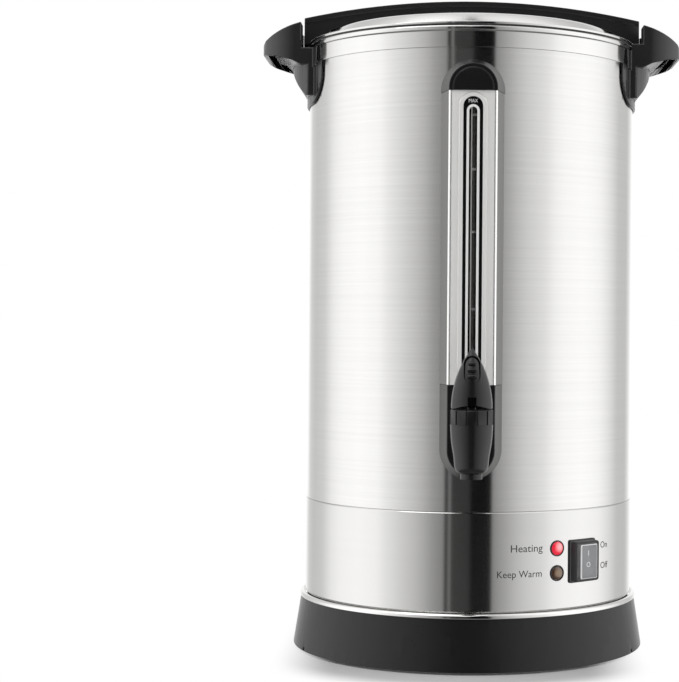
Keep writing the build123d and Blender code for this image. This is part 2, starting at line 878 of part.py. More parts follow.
with BuildPart() as lamp_bezels:
    for plane in lamp_planes:
        with BuildSketch(plane.offset(-bezel_shelf)):
            Circle(bezel_radius)
        extrude(amount=bezel_height + bezel_shelf)
    add(band_skin, mode=Mode.SUBTRACT)
    for plane in lamp_planes:
        with BuildSketch(plane.offset(bezel_shelf)):
            Circle(lens_radius + snug)
        extrude(amount=bezel_height, mode=Mode.SUBTRACT)
        with BuildSketch(plane):
            Circle(lamp_stem + running)
        extrude(amount=bezel_height, both=True, mode=Mode.SUBTRACT)
lamp_bezels.part.label = "lamp_bezels"
export_step(lamp_bezels.part, "parts/lamp_bezels.step")


def lamp(plane):
    """Indicator lamp: a domed lens in front and a round body behind the band."""
    with BuildPart() as light:
        with BuildSketch(plane.offset(bezel_shelf)):
            Circle(lens_radius)
        extrude(amount=lens_height - bezel_shelf)
        fillet(light.edges().sort_by(Axis(plane.origin, plane.z_dir))[-1], lens_round)
        with BuildSketch(plane.offset(bezel_shelf)):
            Circle(lamp_stem)
        extrude(amount=-lamp_length)
    return light.part


with BuildPart() as heat_lamp:
    add(lamp(lamp_planes[0]))
heat_lamp.part.label = "heat_lamp"
export_step(heat_lamp.part, "parts/heat_lamp.step")

with BuildPart() as warm_lamp:
    add(lamp(lamp_planes[1]))
warm_lamp.part.label = "warm_lamp"
export_step(warm_lamp.part, "parts/warm_lamp.step")

with BuildPart() as lamp_nuts:
    for plane in lamp_planes:
        with BuildSketch(plane.offset(-band_sheet - free)):
            RegularPolygon(lamp_nut_radius, 6)
            Circle(lamp_stem + snug, mode=Mode.SUBTRACT)
        extrude(amount=-lamp_nut_height)
lamp_nuts.part.label = "lamp_nuts"
export_step(lamp_nuts.part, "parts/lamp_nuts.step")

# Rocker switch: the housing is clipped into the band, its bezel stands on the outside
rocker_well_width = rocker_width + 2 * free
rocker_well_length = 2 * (sqrt((rocker_length / 2) ** 2 + rocker_crown**2) + free)
with BuildPart() as switch_housing:
    with BuildSketch(switch_plane.offset(-switch_bezel)) as bezel_face:
        Rectangle(switch_width, switch_length)
        fillet(bezel_face.vertices(), 1.5)
    extrude(amount=2 * switch_bezel)
    add(band_skin, mode=Mode.SUBTRACT)
    with BuildSketch(switch_plane.offset(switch_bezel)):
        Rectangle(switch_body_width, switch_body_length)
    extrude(amount=-switch_body_depth)
    with BuildSketch(switch_plane.offset(switch_bezel)):
        Rectangle(rocker_well_width, rocker_well_length)
    extrude(amount=-(switch_bezel + rocker_belly + rocker_pivot_depth + 2), mode=Mode.SUBTRACT)
    trunnion_hole = Plane(
        origin=switch_plane.offset(-rocker_pivot_depth).origin, x_dir=(0, 0, 1), z_dir=switch_plane.x_dir
    )
    with BuildSketch(trunnion_hole):
        Circle(trunnion_radius + running)
    extrude(amount=rocker_well_width / 2 + trunnion_length, both=True, mode=Mode.SUBTRACT)
    with BuildSketch(switch_plane.offset(switch_bezel - switch_body_depth)):
        with GridLocations(0, switch_body_length / 3, 1, 3):
            Rectangle(6.3, 0.8)
    extrude(amount=-8)
switch_housing.part.label = "switch_housing"
export_step(switch_housing.part, "parts/switch_housing.step")

# Rocker, drawn across its pivot and tipped so that its upper half is pressed in
tilt = radians(rocker_tilt)
rocker_up = Vector(0, 0, cos(tilt)) - switch_plane.z_dir * sin(tilt)
rocker_section = Plane(origin=trunnion_hole.origin, x_dir=rocker_up, z_dir=switch_plane.x_dir)
with BuildPart() as switch_rocker:
    half_length = rocker_length / 2
    with BuildSketch(rocker_section):
        with BuildLine():
            ThreePointArc((-half_length, rocker_crown), (0, rocker_valley), (half_length, rocker_crown))
            Polyline(
                (half_length, rocker_crown),
                (half_length, -rocker_valley),
                (rocker_valley, -rocker_belly),
                (-rocker_valley, -rocker_belly),
                (-half_length, -rocker_valley),
                (-half_length, rocker_crown),
            )
        make_face()
    extrude(amount=rocker_width / 2, both=True)
    with BuildSketch(rocker_section):
        Circle(trunnion_radius)
    extrude(amount=rocker_width / 2 + trunnion_length, both=True)
switch_rocker.part.label = "switch_rocker"
export_step(switch_rocker.part, "parts/switch_rocker.step")

# Clear splash cover on the bezel
with BuildPart() as switch_cover:
    with BuildSketch(switch_plane.offset(switch_bezel)) as cover_face:
        Rectangle(cover_width, cover_length)
        fillet(cover_face.vertices(), 2.0)
    extrude(amount=cover_rise)
    fillet(switch_cover.faces().sort_by(Axis(switch_plane.origin, switch_plane.z_dir))[-1].edges(), 0.7)
    with BuildSketch(switch_plane.offset(switch_bezel)):
        Rectangle(cover_width - 2 * cover_wall, cover_length - 2 * cover_wall)
    extrude(amount=cover_rise - cover_wall, mode=Mode.SUBTRACT)
switch_cover.part.label = "switch_cover"
export_step(switch_cover.part, "parts/switch_cover.step")

# Power inlet at the back
with BuildPart() as power_inlet:
    with BuildSketch(inlet_plane.offset(-inlet_flange - 1)) as inlet_face:
        Rectangle(inlet_width, inlet_length)
        fillet(inlet_face.vertices(), 5.0)
    extrude(amount=2 * inlet_flange + 1)
    add(band_skin, mode=Mode.SUBTRACT)
    with BuildSketch(inlet_plane.offset(inlet_flange)):
        Rectangle(inlet_body_width, inlet_body_length)
    extrude(amount=-(inlet_hole_depth + inlet_wall))
    with BuildSketch(inlet_plane.offset(inlet_flange)) as inlet_mouth:
        Rectangle(inlet_hole_width, inlet_hole_length)
        chamfer(inlet_mouth.vertices().group_by(Axis.Y)[-1], inlet_hole_chamfer)
    extrude(amount=-inlet_hole_depth, mode=Mode.SUBTRACT)
    with BuildSketch(inlet_plane.offset(inlet_flange)):
        with GridLocations(inlet_screw_pitch, 0, 2, 1):
            Circle(inlet_screw_radius + running)
    extrude(amount=-3 * inlet_flange, mode=Mode.SUBTRACT)
    with BuildSketch(inlet_plane.offset(inlet_flange - inlet_hole_depth)):
        with GridLocations(blade_pitch, 0, 2, 1):
            with Locations((0, -blade_height / 2)):
                Rectangle(blade_width, blade_height)
        with Locations((0, blade_height / 2)):
            Rectangle(blade_width, blade_height)
    extrude(amount=-inlet_wall, mode=Mode.SUBTRACT)
power_inlet.part.label = "power_inlet"
export_step(power_inlet.part, "parts/power_inlet.step")

with BuildPart() as inlet_pins:
    with BuildSketch(inlet_plane.offset(inlet_flange - inlet_hole_depth + blade_length)):
        with GridLocations(blade_pitch, 0, 2, 1):
            with Locations((0, -blade_height / 2)):
                Rectangle(blade_width, blade_height)
        with Locations((0, blade_height / 2)):
            Rectangle(blade_width, blade_height)
    extrude(amount=-(blade_length + inlet_wall + blade_tail))
inlet_pins.part.label = "inlet_pins"
export_step(inlet_pins.part, "parts/inlet_pins.step")

with BuildPart() as inlet_screws:
    for offset in (-inlet_screw_pitch / 2, inlet_screw_pitch / 2):
        spot = inlet_plane.from_local_coords((offset, 0, inlet_flange))
        seat = Plane(origin=spot, x_dir=inlet_plane.x_dir, z_dir=inlet_plane.z_dir)
        add(screw(seat, inlet_screw_radius * 1.8, 1.8, inlet_screw_radius, 11))
inlet_screws.part.label = "inlet_screws"
export_step(inlet_screws.part, "parts/inlet_screws.step")

# Wiring between the terminals, the inlet, the switch, the sensors and the heaters


def lead(*points):
    """Insulated wire along straight runs with rounded bends."""
    with BuildPart() as wire:
        with BuildLine() as run:
            FilletPolyline(*points, radius=lead_bend)
        with BuildSketch(Plane(origin=points[0], z_dir=Vector(*points[1]) - Vector(*points[0]))):
            Circle(lead_radius)
        sweep(path=run.line)
    return wire.part


def hop(start, level, end):
    """Wire that leaves its start and its end upright and crosses between them at a level."""
    return lead(start, (start[0], start[1], level), (end[0], end[1], level), end)


def sensor_tab_tip(azimuth, side):
    """Tip of a sensor's contact tab; side is -1 or 1 along X."""
    place = radial_plane(azimuth).from_local_coords((sensor_circle, floor_under, 0))
    return (place.X + side * sensor_radius / 2, place.Y, floor_under - sensor_height - sensor_tab)


terminal_seat = plate_top + terminal_height / 2
terminal_pitch = terminal_width / 5
pin_rear = band_radius + inlet_flange - inlet_hole_depth - inlet_wall - blade_tail
pin_places = (
    (-blade_pitch / 2, inlet_height - blade_height / 2),
    (0, inlet_height + blade_height / 2),
    (blade_pitch / 2, inlet_height - blade_height / 2),
)
switch_rear = switch_bezel - switch_body_depth - 8
with BuildPart() as wiring_leads:
    for slot, (pin_across, pin_up) in zip((-1, 0, 1), pin_places):
        across = slot * terminal_pitch
        add(lead(
            (across, terminal_stand, terminal_seat), (across, terminal_stand, pin_up),
            (pin_across, pin_rear, pin_up),
        ))
    for side, azimuth in ((-1, cutout_azimuth), (1, thermostat_azimuth)):
        terminal = (2 * side * terminal_pitch, terminal_stand, terminal_seat)
        add(hop(terminal, lead_level, sensor_tab_tip(azimuth, side)))
    heat_tip = ring_leg(heat_ring, 0, -1)[3]
    add(hop(sensor_tab_tip(thermostat_azimuth, -1), heat_tip.Z - 12, tuple(heat_tip)))
    warm_tip = ring_leg(warm_ring, radians(ring_arc), 1)[3]
    add(hop(sensor_tab_tip(cutout_azimuth, 1), warm_tip.Z - 16, tuple(warm_tip)))
    for rise, ring, turn, way in ((1, heat_ring, radians(ring_arc), 1), (-1, warm_ring, 0, -1)):
        tip = ring_leg(ring, turn, way)[3]
        tab = switch_plane.from_local_coords((0, rise * switch_body_length / 3, switch_rear))
        inward = tab - switch_plane.z_dir * 4 * lead_bend
        add(lead(tuple(tab), tuple(inward), (tip.X, tip.Y, tab.Z), tuple(tip)))
wiring_leads.part.label = "wiring_leads"
export_step(wiring_leads.part, "parts/wiring_leads.step")

# ------------------------------------------------------------------ handles

# Everything inside a handle: the tank, the collar, the bead and the turning bar
handle_void = lathe(
    [
        (0, pad_bottom - 5),
        (body_radius + snug, pad_bottom - 5),
        (body_radius + snug, collar_bottom - snug),
        (collar_radius + snug, collar_bottom - snug),
        (collar_radius + snug, groove_bottom),
        (hook_radius - 0.1, groove_bottom),
        (hook_radius - 0.1, groove_top),
        (lip_radius, groove_top),
        (lip_radius, handle_crown + 10),
        (0, handle_crown + 10),
    ]
)

# Groove for the locking tab, open at one end, and the notch that the tab drops into
notch_half_angle = tab_half_angle + notch_margin
groove_end = degrees(asin(handle_half_width / lip_radius)) + 4
lock_groove = sector(lip_radius - 6, groove_radius, groove_bottom, groove_top, -notch_half_angle, groove_end)
lift_notch = sector(
    lip_radius - 6, groove_radius, groove_bottom, handle_crown + 10, -notch_half_angle, notch_half_angle
)

# Upper part of a handle: the grip and the two arms that carry it
with BuildPart() as grip:
    with BuildSketch(Plane.XZ):
        with BuildLine():
            Polyline(
                (handle_reach - grip_bevel, handle_shoulder),
                (handle_reach, handle_shoulder - grip_bevel_drop),
                (handle_reach, handle_grip_bottom),
                (handle_reach - grip_tuck, handle_grip_bottom - grip_tuck_drop),
                (handle_reach - arm_outer_inset, handle_arm_bottom + arm_outer_rise),
                (handle_reach - arm_middle_inset, handle_arm_bottom + arm_middle_rise),
                (handle_reach - arm_root_inset, handle_arm_bottom),
                (inside_wall, handle_arm_bottom),
                (inside_wall, handle_crown),
            )
            ThreePointArc(
                (inside_wall, handle_crown),
                (handle_reach - crown_inset, (handle_shoulder + handle_crown) / 2),
                (handle_reach - grip_bevel, handle_shoulder),
            )
        make_face()
    extrude(amount=handle_half_width, both=True)
    with BuildSketch(Plane.XY.offset(handle_arm_bottom - 10)) as grip_plan:
        with Locations((handle_reach / 2, 0)):
            Rectangle(handle_reach, 2 * handle_half_width)
        fillet(grip_plan.vertices().group_by(Axis.X)[-1], handle_corner)
    extrude(amount=handle_crown - handle_arm_bottom + 20, mode=Mode.INTERSECT)

# Hollow for the fingers, open below
pocket_inner = groove_radius + pocket_wall
pocket_outer = handle_reach - handle_wall
pocket_corner = min(handle_corner - handle_wall - pocket_corner_step, 0.97 * (pocket_outer - pocket_inner))
with BuildPart() as finger_pocket:
    with BuildSketch(Plane.XZ):
        with BuildLine():
            Polyline(
                (pocket_inner, handle_arm_bottom - 20),
                (pocket_outer, handle_arm_bottom - 20),
                (pocket_outer, handle_shoulder - handle_wall),
                (pocket_inner, handle_shoulder - handle_wall + pocket_roof_rise),
                close=True,
            )
        make_face()
    extrude(amount=handle_half_width - handle_wall, both=True)
    with BuildSketch(Plane.XY.offset(handle_arm_bottom - 30)) as pocket_plan:
        with Locations(((pocket_inner + pocket_outer) / 2, 0)):
            Rectangle(pocket_outer - pocket_inner, 2 * (handle_half_width - handle_wall))
        fillet(pocket_plan.vertices().group_by(Axis.X)[-1], pocket_corner)
    extrude(amount=handle_crown - handle_arm_bottom + 40, mode=Mode.INTERSECT)

# Tail that carries the handle down the tank's side, tapering to a tip
with BuildPart() as tail:
    with BuildSketch(Plane.XZ):
        with BuildLine():
            ThreePointArc(
                (tail_reach, handle_arm_bottom + arm_middle_rise),
                (tail_reach - tail_belly, tail_tip + tail_belly_rise),
                (body_radius - 0.2, tail_tip),
            )
            Polyline(
                (body_radius - 0.2, tail_tip),
                (inside_wall, tail_tip),
                (inside_wall, handle_arm_bottom + arm_middle_rise),
                (tail_reach, handle_arm_bottom + arm_middle_rise),
            )
        make_face()
    extrude(amount=handle_half_width, both=True)
    with BuildSketch(Plane.XY.offset(tail_tip - 5)):
        with BuildLine():
            ThreePointArc(
                (tail_side_reach, -handle_half_width),
                (tail_reach, 0),
                (tail_side_reach, handle_half_width),
            )
            Polyline(
                (tail_side_reach, handle_half_width),
                (inside_wall - 20, handle_half_width),
                (inside_wall - 20, -handle_half_width),
                (tail_side_reach, -handle_half_width),
            )
        make_face()
    extrude(amount=handle_arm_bottom - tail_tip + 20, mode=Mode.INTERSECT)


def pad_piece(half_width, low, high, corner, radius):
    """Curved plate against the steel on the right side, its lower corners rounded."""
    with BuildPart() as plate:
        with BuildSketch(Plane.YZ) as face:
            with Locations((0, (low + high) / 2)):
                Rectangle(2 * half_width, high - low)
            fillet(face.vertices().group_by(Axis.Y)[0], corner)
        extrude(amount=radius)
        add(drum(radius, low, high), mode=Mode.INTERSECT)
    return plate.part


lower_pad = pad_piece(pad_half_width, pad_bottom, collar_bottom, pad_corner, body_radius + pad_thickness)
upper_pad = pad_piece(
    pad_upper_half_width, collar_bottom - upper_pad_lap, groove_bottom, upper_pad_corner,
    collar_radius + pad_thickness,
)

# One handle, on the right; its groove opens towards the back
with BuildPart() as handle_right:
    add(grip.part)
    add(tail.part)
    add(lower_pad)
    add(upper_pad)
    add(finger_pocket.part, mode=Mode.SUBTRACT)
    add(handle_void, mode=Mode.SUBTRACT)
    add(lock_groove, mode=Mode.SUBTRACT)
    add(lift_notch, mode=Mode.SUBTRACT)
    with BuildSketch(Plane.XY.offset(groove_top)):
        with Locations((lip_flat_reach / 2, 0)):
            Rectangle(lip_flat_reach, 2 * handle_half_width + 2)
    extrude(amount=handle_crown - groove_top + 10, mode=Mode.SUBTRACT)
    for azimuth in (right - handle_screw_angle, right + handle_screw_angle):
        with BuildSketch(wall_plane(azimuth, handle_screw_height, body_radius - 2)):
            Circle(insert_radius)
        extrude(amount=2 + insert_length + free, mode=Mode.SUBTRACT)
handle_right.part.label = "handle_right"
export_step(handle_right.part, "parts/handle_right.step")

# The same handle, turned half round the urn
with BuildPart() as handle_left:
    add(handle_right.part, rotation=(0, 0, 180))
handle_left.part.label = "handle_left"
export_step(handle_left.part, "parts/handle_left.step")

# Threaded brass inserts in the tails, and the screws that reach them from inside the tank
with BuildPart() as handle_inserts:
    for azimuth, height in handle_screw_spots:
        with BuildSketch(wall_plane(azimuth, height, body_radius + free)):
            Circle(insert_radius)
            Circle(handle_screw_radius, mode=Mode.SUBTRACT)
        extrude(amount=insert_length)
handle_inserts.part.label = "handle_inserts"
export_step(handle_inserts.part, "parts/handle_inserts.step")

with BuildPart() as handle_screws:
    for azimuth, height in handle_screw_spots:
        seat = inner_plane(azimuth, height, head_seat)
        add(screw(seat, inner_head_radius, inner_head_height, handle_screw_radius, handle_screw_length))
handle_screws.part.label = "handle_screws"
export_step(handle_screws.part, "parts/handle_screws.step")

with BuildPart() as screw_washers:
    for azimuth, height in handle_screw_spots:
        seat = inner_plane(azimuth, height, head_seat)
        add(washer(seat, handle_screw_radius + running, washer_radius, 2 * washer_thickness, tank_hollow))
    seat = inner_plane(front, cap_screw_height, head_seat)
    add(washer(seat, cap_screw_radius + running, washer_radius, 2 * washer_thickness, tank_hollow))
screw_washers.part.label = "screw_washers"
export_step(screw_washers.part, "parts/screw_washers.step")

# -------------------------------------------------------------- level gauge

window_middle = (window_bottom + window_top) / 2
window_length = window_top - window_bottom
slot_length = window_length - 2 * slot_margin
frame_length = window_length + frame_width - window_width
with BuildPart() as gauge_cover:
    with BuildSketch(Plane.XY.offset(gauge_bottom)) as channel:
        with BuildLine():
            Polyline(*housing_section(0, inside_wall), close=True)
        make_face()
        fillet(channel.vertices().group_by(Axis.Y)[0], gauge_edge_round)
    extrude(amount=gauge_top - gauge_bottom)
    with BuildSketch(Plane.XZ.offset(gauge_front)):
        with Locations((0, window_middle)):
            SlotOverall(frame_length, frame_width, rotation=90)
    extrude(amount=frame_proud, taper=35)
    with BuildSketch(Plane.XY.offset(gauge_bottom)) as hollow:
        with BuildLine():
            Polyline(*housing_section(gauge_sheet, inside_wall - 20), close=True)
        make_face()
        fillet(hollow.vertices().group_by(Axis.Y)[0], gauge_edge_round - gauge_sheet)
    extrude(amount=gauge_top - gauge_bottom, mode=Mode.SUBTRACT)
    with BuildSketch(Plane.XZ.offset(gauge_front + frame_proud)):
        with Locations((0, window_middle)):
            SlotOverall(window_length, window_width, rotation=90)
    extrude(amount=-(frame_proud + 2 * gauge_sheet), mode=Mode.SUBTRACT)
    add(tank_skin, mode=Mode.SUBTRACT)
gauge_cover.part.label = "gauge_cover"
export_step(gauge_cover.part, "parts/gauge_cover.step")

# Black strip behind the window, with the sight slot and room for the marks beside it
strip_front = gauge_front - gauge_sheet - strip_gap
strip_low = gauge_bottom + strip_margin
strip_high = cap_boss_bottom + cap_boss_length - strip_margin
with BuildPart() as gauge_scale:
    with BuildSketch(Plane.XZ.offset(strip_front)):
        with Locations((0, (strip_low + strip_high) / 2)):
            Rectangle(strip_width, strip_high - strip_low)
        with Locations((0, window_middle)):
            SlotOverall(slot_length, slot_width, rotation=90, mode=Mode.SUBTRACT)
    extrude(amount=-strip_thickness)
gauge_scale.part.label = "gauge_scale"
export_step(gauge_scale.part, "parts/gauge_scale.step")

glass_foot = Plane((0, -glass_axis, glass_bottom))
with BuildPart() as gauge_glass:
    with BuildSketch(glass_foot):
        Circle(glass_radius)
        Circle(glass_radius - glass_wall, mode=Mode.SUBTRACT)
    extrude(amount=glass_top - glass_bottom)
gauge_glass.part.label = "gauge_glass"
export_step(gauge_glass.part, "parts/gauge_glass.step")

# Rubber sleeves at both ends of the glass
seal_length = glass_socket - 2 * free
with BuildPart() as gauge_seals:
    for height in (glass_bottom, glass_top - seal_length):
        with BuildSketch(Plane((0, -glass_axis, height))):
            Circle(seal_radius)
            Circle(glass_radius, mode=Mode.SUBTRACT)
        extrude(amount=seal_length)
gauge_seals.part.label = "gauge_seals"
export_step(gauge_seals.part, "parts/gauge_seals.step")

# Domed cap over the channel's top; a boss below it holds the glass
cap_front = gauge_front + cap_proud
cap_front_half = housing_half_width(cap_front, -cap_overlap)
cap_rear_half = housing_half_width(inside_wall, -cap_overlap)
with BuildPart() as gauge_cap:
    loft(
        sections=[
            arch(inside_wall, cap_rear_half, cap_centre, gauge_top),
            arch(cap_front, cap_front_half, cap_centre, gauge_top),
        ],
        ruled=True,
    )
    add(tank_skin, mode=Mode.SUBTRACT)
    extrude(arch(cap_front, cap_front_half - cap_inset, cap_centre, gauge_top), amount=cap_step)
    with BuildSketch(Plane((0, -glass_axis, cap_boss_bottom))):
        Circle(manifold_radius)
    extrude(amount=cap_boss_length)
    with BuildSketch(Plane((0, -glass_axis, cap_boss_bottom))):
        Circle(seal_radius)
    extrude(amount=glass_socket, mode=Mode.SUBTRACT)
    with BuildSketch(wall_plane(front, cap_screw_height, body_radius)):
        Circle(cap_screw_radius)
    extrude(amount=cap_screw_length - washer_thickness, mode=Mode.SUBTRACT)
gauge_cap.part.label = "gauge_cap"
export_step(gauge_cap.part, "parts/gauge_cap.step")

with BuildPart() as cap_screw:
    seat = inner_plane(front, cap_screw_height, head_seat)
    add(screw(seat, inner_head_radius, inner_head_height, cap_screw_radius, cap_screw_length))
cap_screw.part.label = "cap_screw"
export_step(cap_screw.part, "parts/cap_screw.step")

# ------------------------------------------------------- outlet and manifold

# Fitting behind the tap: the tank feeds it from the rear, it feeds the glass above and the tap in front
boss_back = glass_axis - manifold_radius
boss_front = gauge_front - block_wall - strip_gap
with BuildPart() as gauge_manifold:
    manifold_foot = outlet_height - manifold_bore - 1.2
    with BuildSketch(Plane((0, -glass_axis, manifold_foot))):
        Circle(manifold_radius)
    extrude(amount=manifold_top - manifold_foot)
    with BuildSketch(Plane.XZ.offset(boss_front)):
        with Locations((0, shank_height)):
            Circle(shank_flange)
    extrude(amount=-(boss_front - boss_back))
    with BuildSketch(Plane.XZ.offset(boss_back)):
        with Locations((0, outlet_height)):
            Circle(outlet_flange)
    extrude(amount=outlet_radius / 2)
    with BuildSketch(Plane.XZ.offset(glass_axis)):
        with Locations((0, outlet_height)):
            Circle(outlet_radius)
    extrude(amount=-(glass_axis - tank_inner + outlet_reach))
    with BuildSketch(Plane((0, -glass_axis, outlet_height))):
        Circle(manifold_bore)
    extrude(amount=manifold_top - outlet_height, mode=Mode.SUBTRACT)
    with BuildSketch(Plane((0, -glass_axis, manifold_top))):
        Circle(seal_radius)
    extrude(amount=-glass_socket, mode=Mode.SUBTRACT)
    with BuildSketch(Plane.XZ.offset(glass_axis)):
        with Locations((0, outlet_height)):
            Circle(manifold_bore)
    extrude(amount=-(glass_axis - tank_inner + outlet_reach), mode=Mode.SUBTRACT)
    with BuildSketch(Plane.XZ.offset(boss_front)):
        with Locations((0, shank_height)):
            Circle(shank_radius)
    extrude(amount=-(boss_front - glass_axis), mode=Mode.SUBTRACT)
gauge_manifold.part.label = "gauge_manifold"
export_step(gauge_manifold.part, "parts/gauge_manifold.step")

nut_seat = inner_plane(front, outlet_height, head_seat)
with BuildPart() as outlet_nut:
    with BuildSketch(nut_seat):
        RegularPolygon(outlet_nut_radius, 6)
        Circle(outlet_radius, mode=Mode.SUBTRACT)
    extrude(amount=outlet_nut_height)
outlet_nut.part.label = "outlet_nut"
export_step(outlet_nut.part, "parts/outlet_nut.step")

# Rubber seals on both sides of the tank wall
with BuildPart() as outlet_seals:
    with BuildSketch(Plane.XZ.offset(boss_back)):
        with Locations((0, outlet_height)):
            Circle(outlet_flange)
            Circle(outlet_radius + running, mode=Mode.SUBTRACT)
    extrude(amount=-(boss_back - inside_wall))
    add(tank_skin, mode=Mode.SUBTRACT)
    add(washer(nut_seat, outlet_radius + running, outlet_flange, 2 * washer_thickness, tank_hollow))
outlet_seals.part.label = "outlet_seals"
export_step(outlet_seals.part, "parts/outlet_seals.step")

# Black housing below the channel, round at the bottom
with BuildPart() as tap_block:
    loft(
        sections=[
            arch(inside_wall, housing_half_width(inside_wall, 0), block_centre, gauge_bottom),
            arch(gauge_front, housing_half_width(gauge_front, 0), block_centre, gauge_bottom),
        ],
        ruled=True,
    )
    cavity_front = gauge_front - block_wall
    cavity_rear = inside_wall - 10
    loft(
        sections=[
            arch(cavity_rear, housing_half_width(cavity_rear, block_wall), block_centre, gauge_bottom + 5),
            arch(cavity_front, housing_half_width(cavity_front, block_wall), block_centre, gauge_bottom + 5),
        ],
        ruled=True,
        mode=Mode.SUBTRACT,
    )
    add(tank_skin, mode=Mode.SUBTRACT)
    with BuildSketch(Plane.XZ.offset(gauge_front)):
        with Locations((0, shank_height)):
            Circle(shank_radius + free)
    extrude(amount=-2 * block_wall, mode=Mode.SUBTRACT)
tap_block.part.label = "tap_block"
export_step(tap_block.part, "parts/tap_block.step")

# ---------------------------------------------------------------------- tap

tap_section = Plane(origin=(0, -tap_reach, 0), x_dir=(1, 0, 0), z_dir=(0, -1, 0))
tap_side = Plane(origin=(0, -tap_reach, 0), x_dir=(0, 1, 0), z_dir=(1, 0, 0))
tap_axis = Axis((0, -tap_reach, 0), (0, 0, 1))
shank_end = glass_axis + strip_gap
with BuildPart() as tap_body:
    barrel_drop = barrel_top - spout_tip
    with BuildSketch(tap_section):
        with BuildLine():
            Polyline(
                (spout_radius, spout_tip + spout_lip),
                (spout_radius, spout_tip),
                (0, spout_tip),
                (0, neck_top),
                (neck_radius, neck_top),
                (neck_radius, barrel_top),
                (barrel_radius, barrel_top),
            )
            Spline(
                (barrel_radius, barrel_top),
                (barrel_radius - 1.15, barrel_top - 0.40 * barrel_drop),
                (barrel_radius - 2.6, barrel_top - 0.65 * barrel_drop),
                (barrel_radius - 4.4, barrel_top - 0.86 * barrel_drop),
                (spout_radius, spout_tip + spout_lip),
            )
        make_face()
    revolve(axis=tap_axis)
    with BuildSketch(Plane.XZ.offset(tap_reach)):
        with Locations((0, shank_height)):
            Circle(shank_neck)
    extrude(amount=-(tap_reach - gauge_front - shank_flange_thickness / 2))
    with BuildSketch(Plane.XZ.offset(gauge_front)):
        with Locations((0, shank_height)):
            Circle(shank_flange)
    extrude(amount=shank_flange_thickness)
    with BuildSketch(Plane.XZ.offset(gauge_front)):
        with Locations((0, shank_height)):
            Circle(shank_radius)
    extrude(amount=-(gauge_front - shank_end))
    with BuildSketch(tap_section):
        with BuildLine():
            Polyline(
                (0, spout_tip),
                (spout_bore, spout_tip),
                (spout_bore, seat_top),
                (spout_bore + seat_land, seat_top),
                (spout_bore + seat_land, chamber_floor),
                (chamber_radius, chamber_floor),
                (chamber_radius, neck_top),
                (0, neck_top),
                close=True,
            )
        make_face()
    revolve(axis=tap_axis, mode=Mode.SUBTRACT)
    with BuildSketch(Plane.XZ.offset(tap_reach)):
        with Locations((0, shank_height)):
            Circle(shank_bore)
    extrude(amount=-(tap_reach - shank_end), mode=Mode.SUBTRACT)
tap_body.part.label = "tap_body"
export_step(tap_body.part, "parts/tap_body.step")

# Cap nut on the barrel; the stem slides through it
with BuildPart() as tap_bonnet:
    with BuildSketch(Plane((0, -tap_reach, barrel_top))):
        RegularPolygon(bonnet_radius, bonnet_sides, rotation=180 / bonnet_sides)
    extrude(amount=bonnet_height)
    chamfer(tap_bonnet.faces().sort_by(Axis.Z)[-1].edges(), 0.8)
    with BuildSketch(Plane((0, -tap_reach, barrel_top))):
        Circle(neck_radius + snug)
    extrude(amount=bonnet_height - bonnet_plate, mode=Mode.SUBTRACT)
    with BuildSketch(Plane((0, -tap_reach, barrel_top))):
        Circle(stem_radius + running)
    extrude(amount=bonnet_height, mode=Mode.SUBTRACT)
tap_bonnet.part.label = "tap_bonnet"
export_step(tap_bonnet.part, "parts/tap_bonnet.step")

# Stem with a flat tongue for the lever's pin
stem_bottom = seat_top + seat_height
tongue_bottom = bonnet_top + 2 * seat_height
with BuildPart() as tap_stem:
    with BuildSketch(Plane((0, -tap_reach, stem_bottom))):
        Circle(stem_radius)
    extrude(amount=tongue_bottom - stem_bottom + 1)
    with BuildSketch(tap_side):
        with Locations((0, pin_height)):
            Circle(tongue_half_depth)
        with Locations((0, (tongue_bottom + pin_height) / 2)):
            Rectangle(2 * tongue_half_depth, pin_height - tongue_bottom)
    extrude(amount=tongue_thickness / 2, both=True)
    with BuildSketch(tap_side):
        with Locations((0, pin_height)):
            Circle(pin_radius)
    extrude(amount=tongue_thickness, both=True, mode=Mode.SUBTRACT)
tap_stem.part.label = "tap_stem"
export_step(tap_stem.part, "parts/tap_stem.step")

with BuildPart() as seat_cup:
    with BuildSketch(Plane((0, -tap_reach, seat_top))):
        Circle(cup_radius)
    extrude(amount=cup_height)
    with BuildSketch(Plane((0, -tap_reach, stem_bottom))):
        Circle(stem_radius)
    extrude(amount=cup_height, mode=Mode.SUBTRACT)
seat_cup.part.label = "seat_cup"
export_step(seat_cup.part, "parts/seat_cup.step")

# Spring between the seat cup and the bonnet
spring_foot = cup_top + spring_wire
spring_length = bonnet_top - bonnet_plate - spring_wire - spring_foot - 2 * strip_gap
with BuildPart() as tap_spring:
    coil = Helix(spring_length / spring_turns, spring_length, spring_radius).moved(
        Location((0, -tap_reach, spring_foot + strip_gap))
    )
    with BuildSketch(Plane(origin=coil @ 0, z_dir=coil % 0)):
        Circle(spring_wire)
    sweep(path=coil, is_frenet=True)
tap_spring.part.label = "tap_spring"
export_step(tap_spring.part, "parts/tap_spring.step")

# Lever: a pointed body whose rounded foot is the cam that lifts the stem


def nose_reach(foot_radius, length, rise):
    """Radius of a pointed arch at a height above its foot."""
    curve = (foot_radius**2 + length**2) / (2 * foot_radius)
    return foot_radius - curve + sqrt(curve**2 - rise**2)


def lever_form(foot_radius, length):
    """Pointed arch turned about the tap's axis, upright on the lever's foot."""
    rises = [length * step / 8 for step in range(9)]
    with BuildPart() as body:
        with BuildSketch(tap_section):
            with BuildLine():
                Spline(*[(nose_reach(foot_radius, length, rise), lever_foot + rise) for rise in rises])
                Polyline((0, lever_foot + length), (0, lever_foot), (foot_radius, lever_foot))
            make_face()
        revolve(axis=tap_axis)
    return body.part


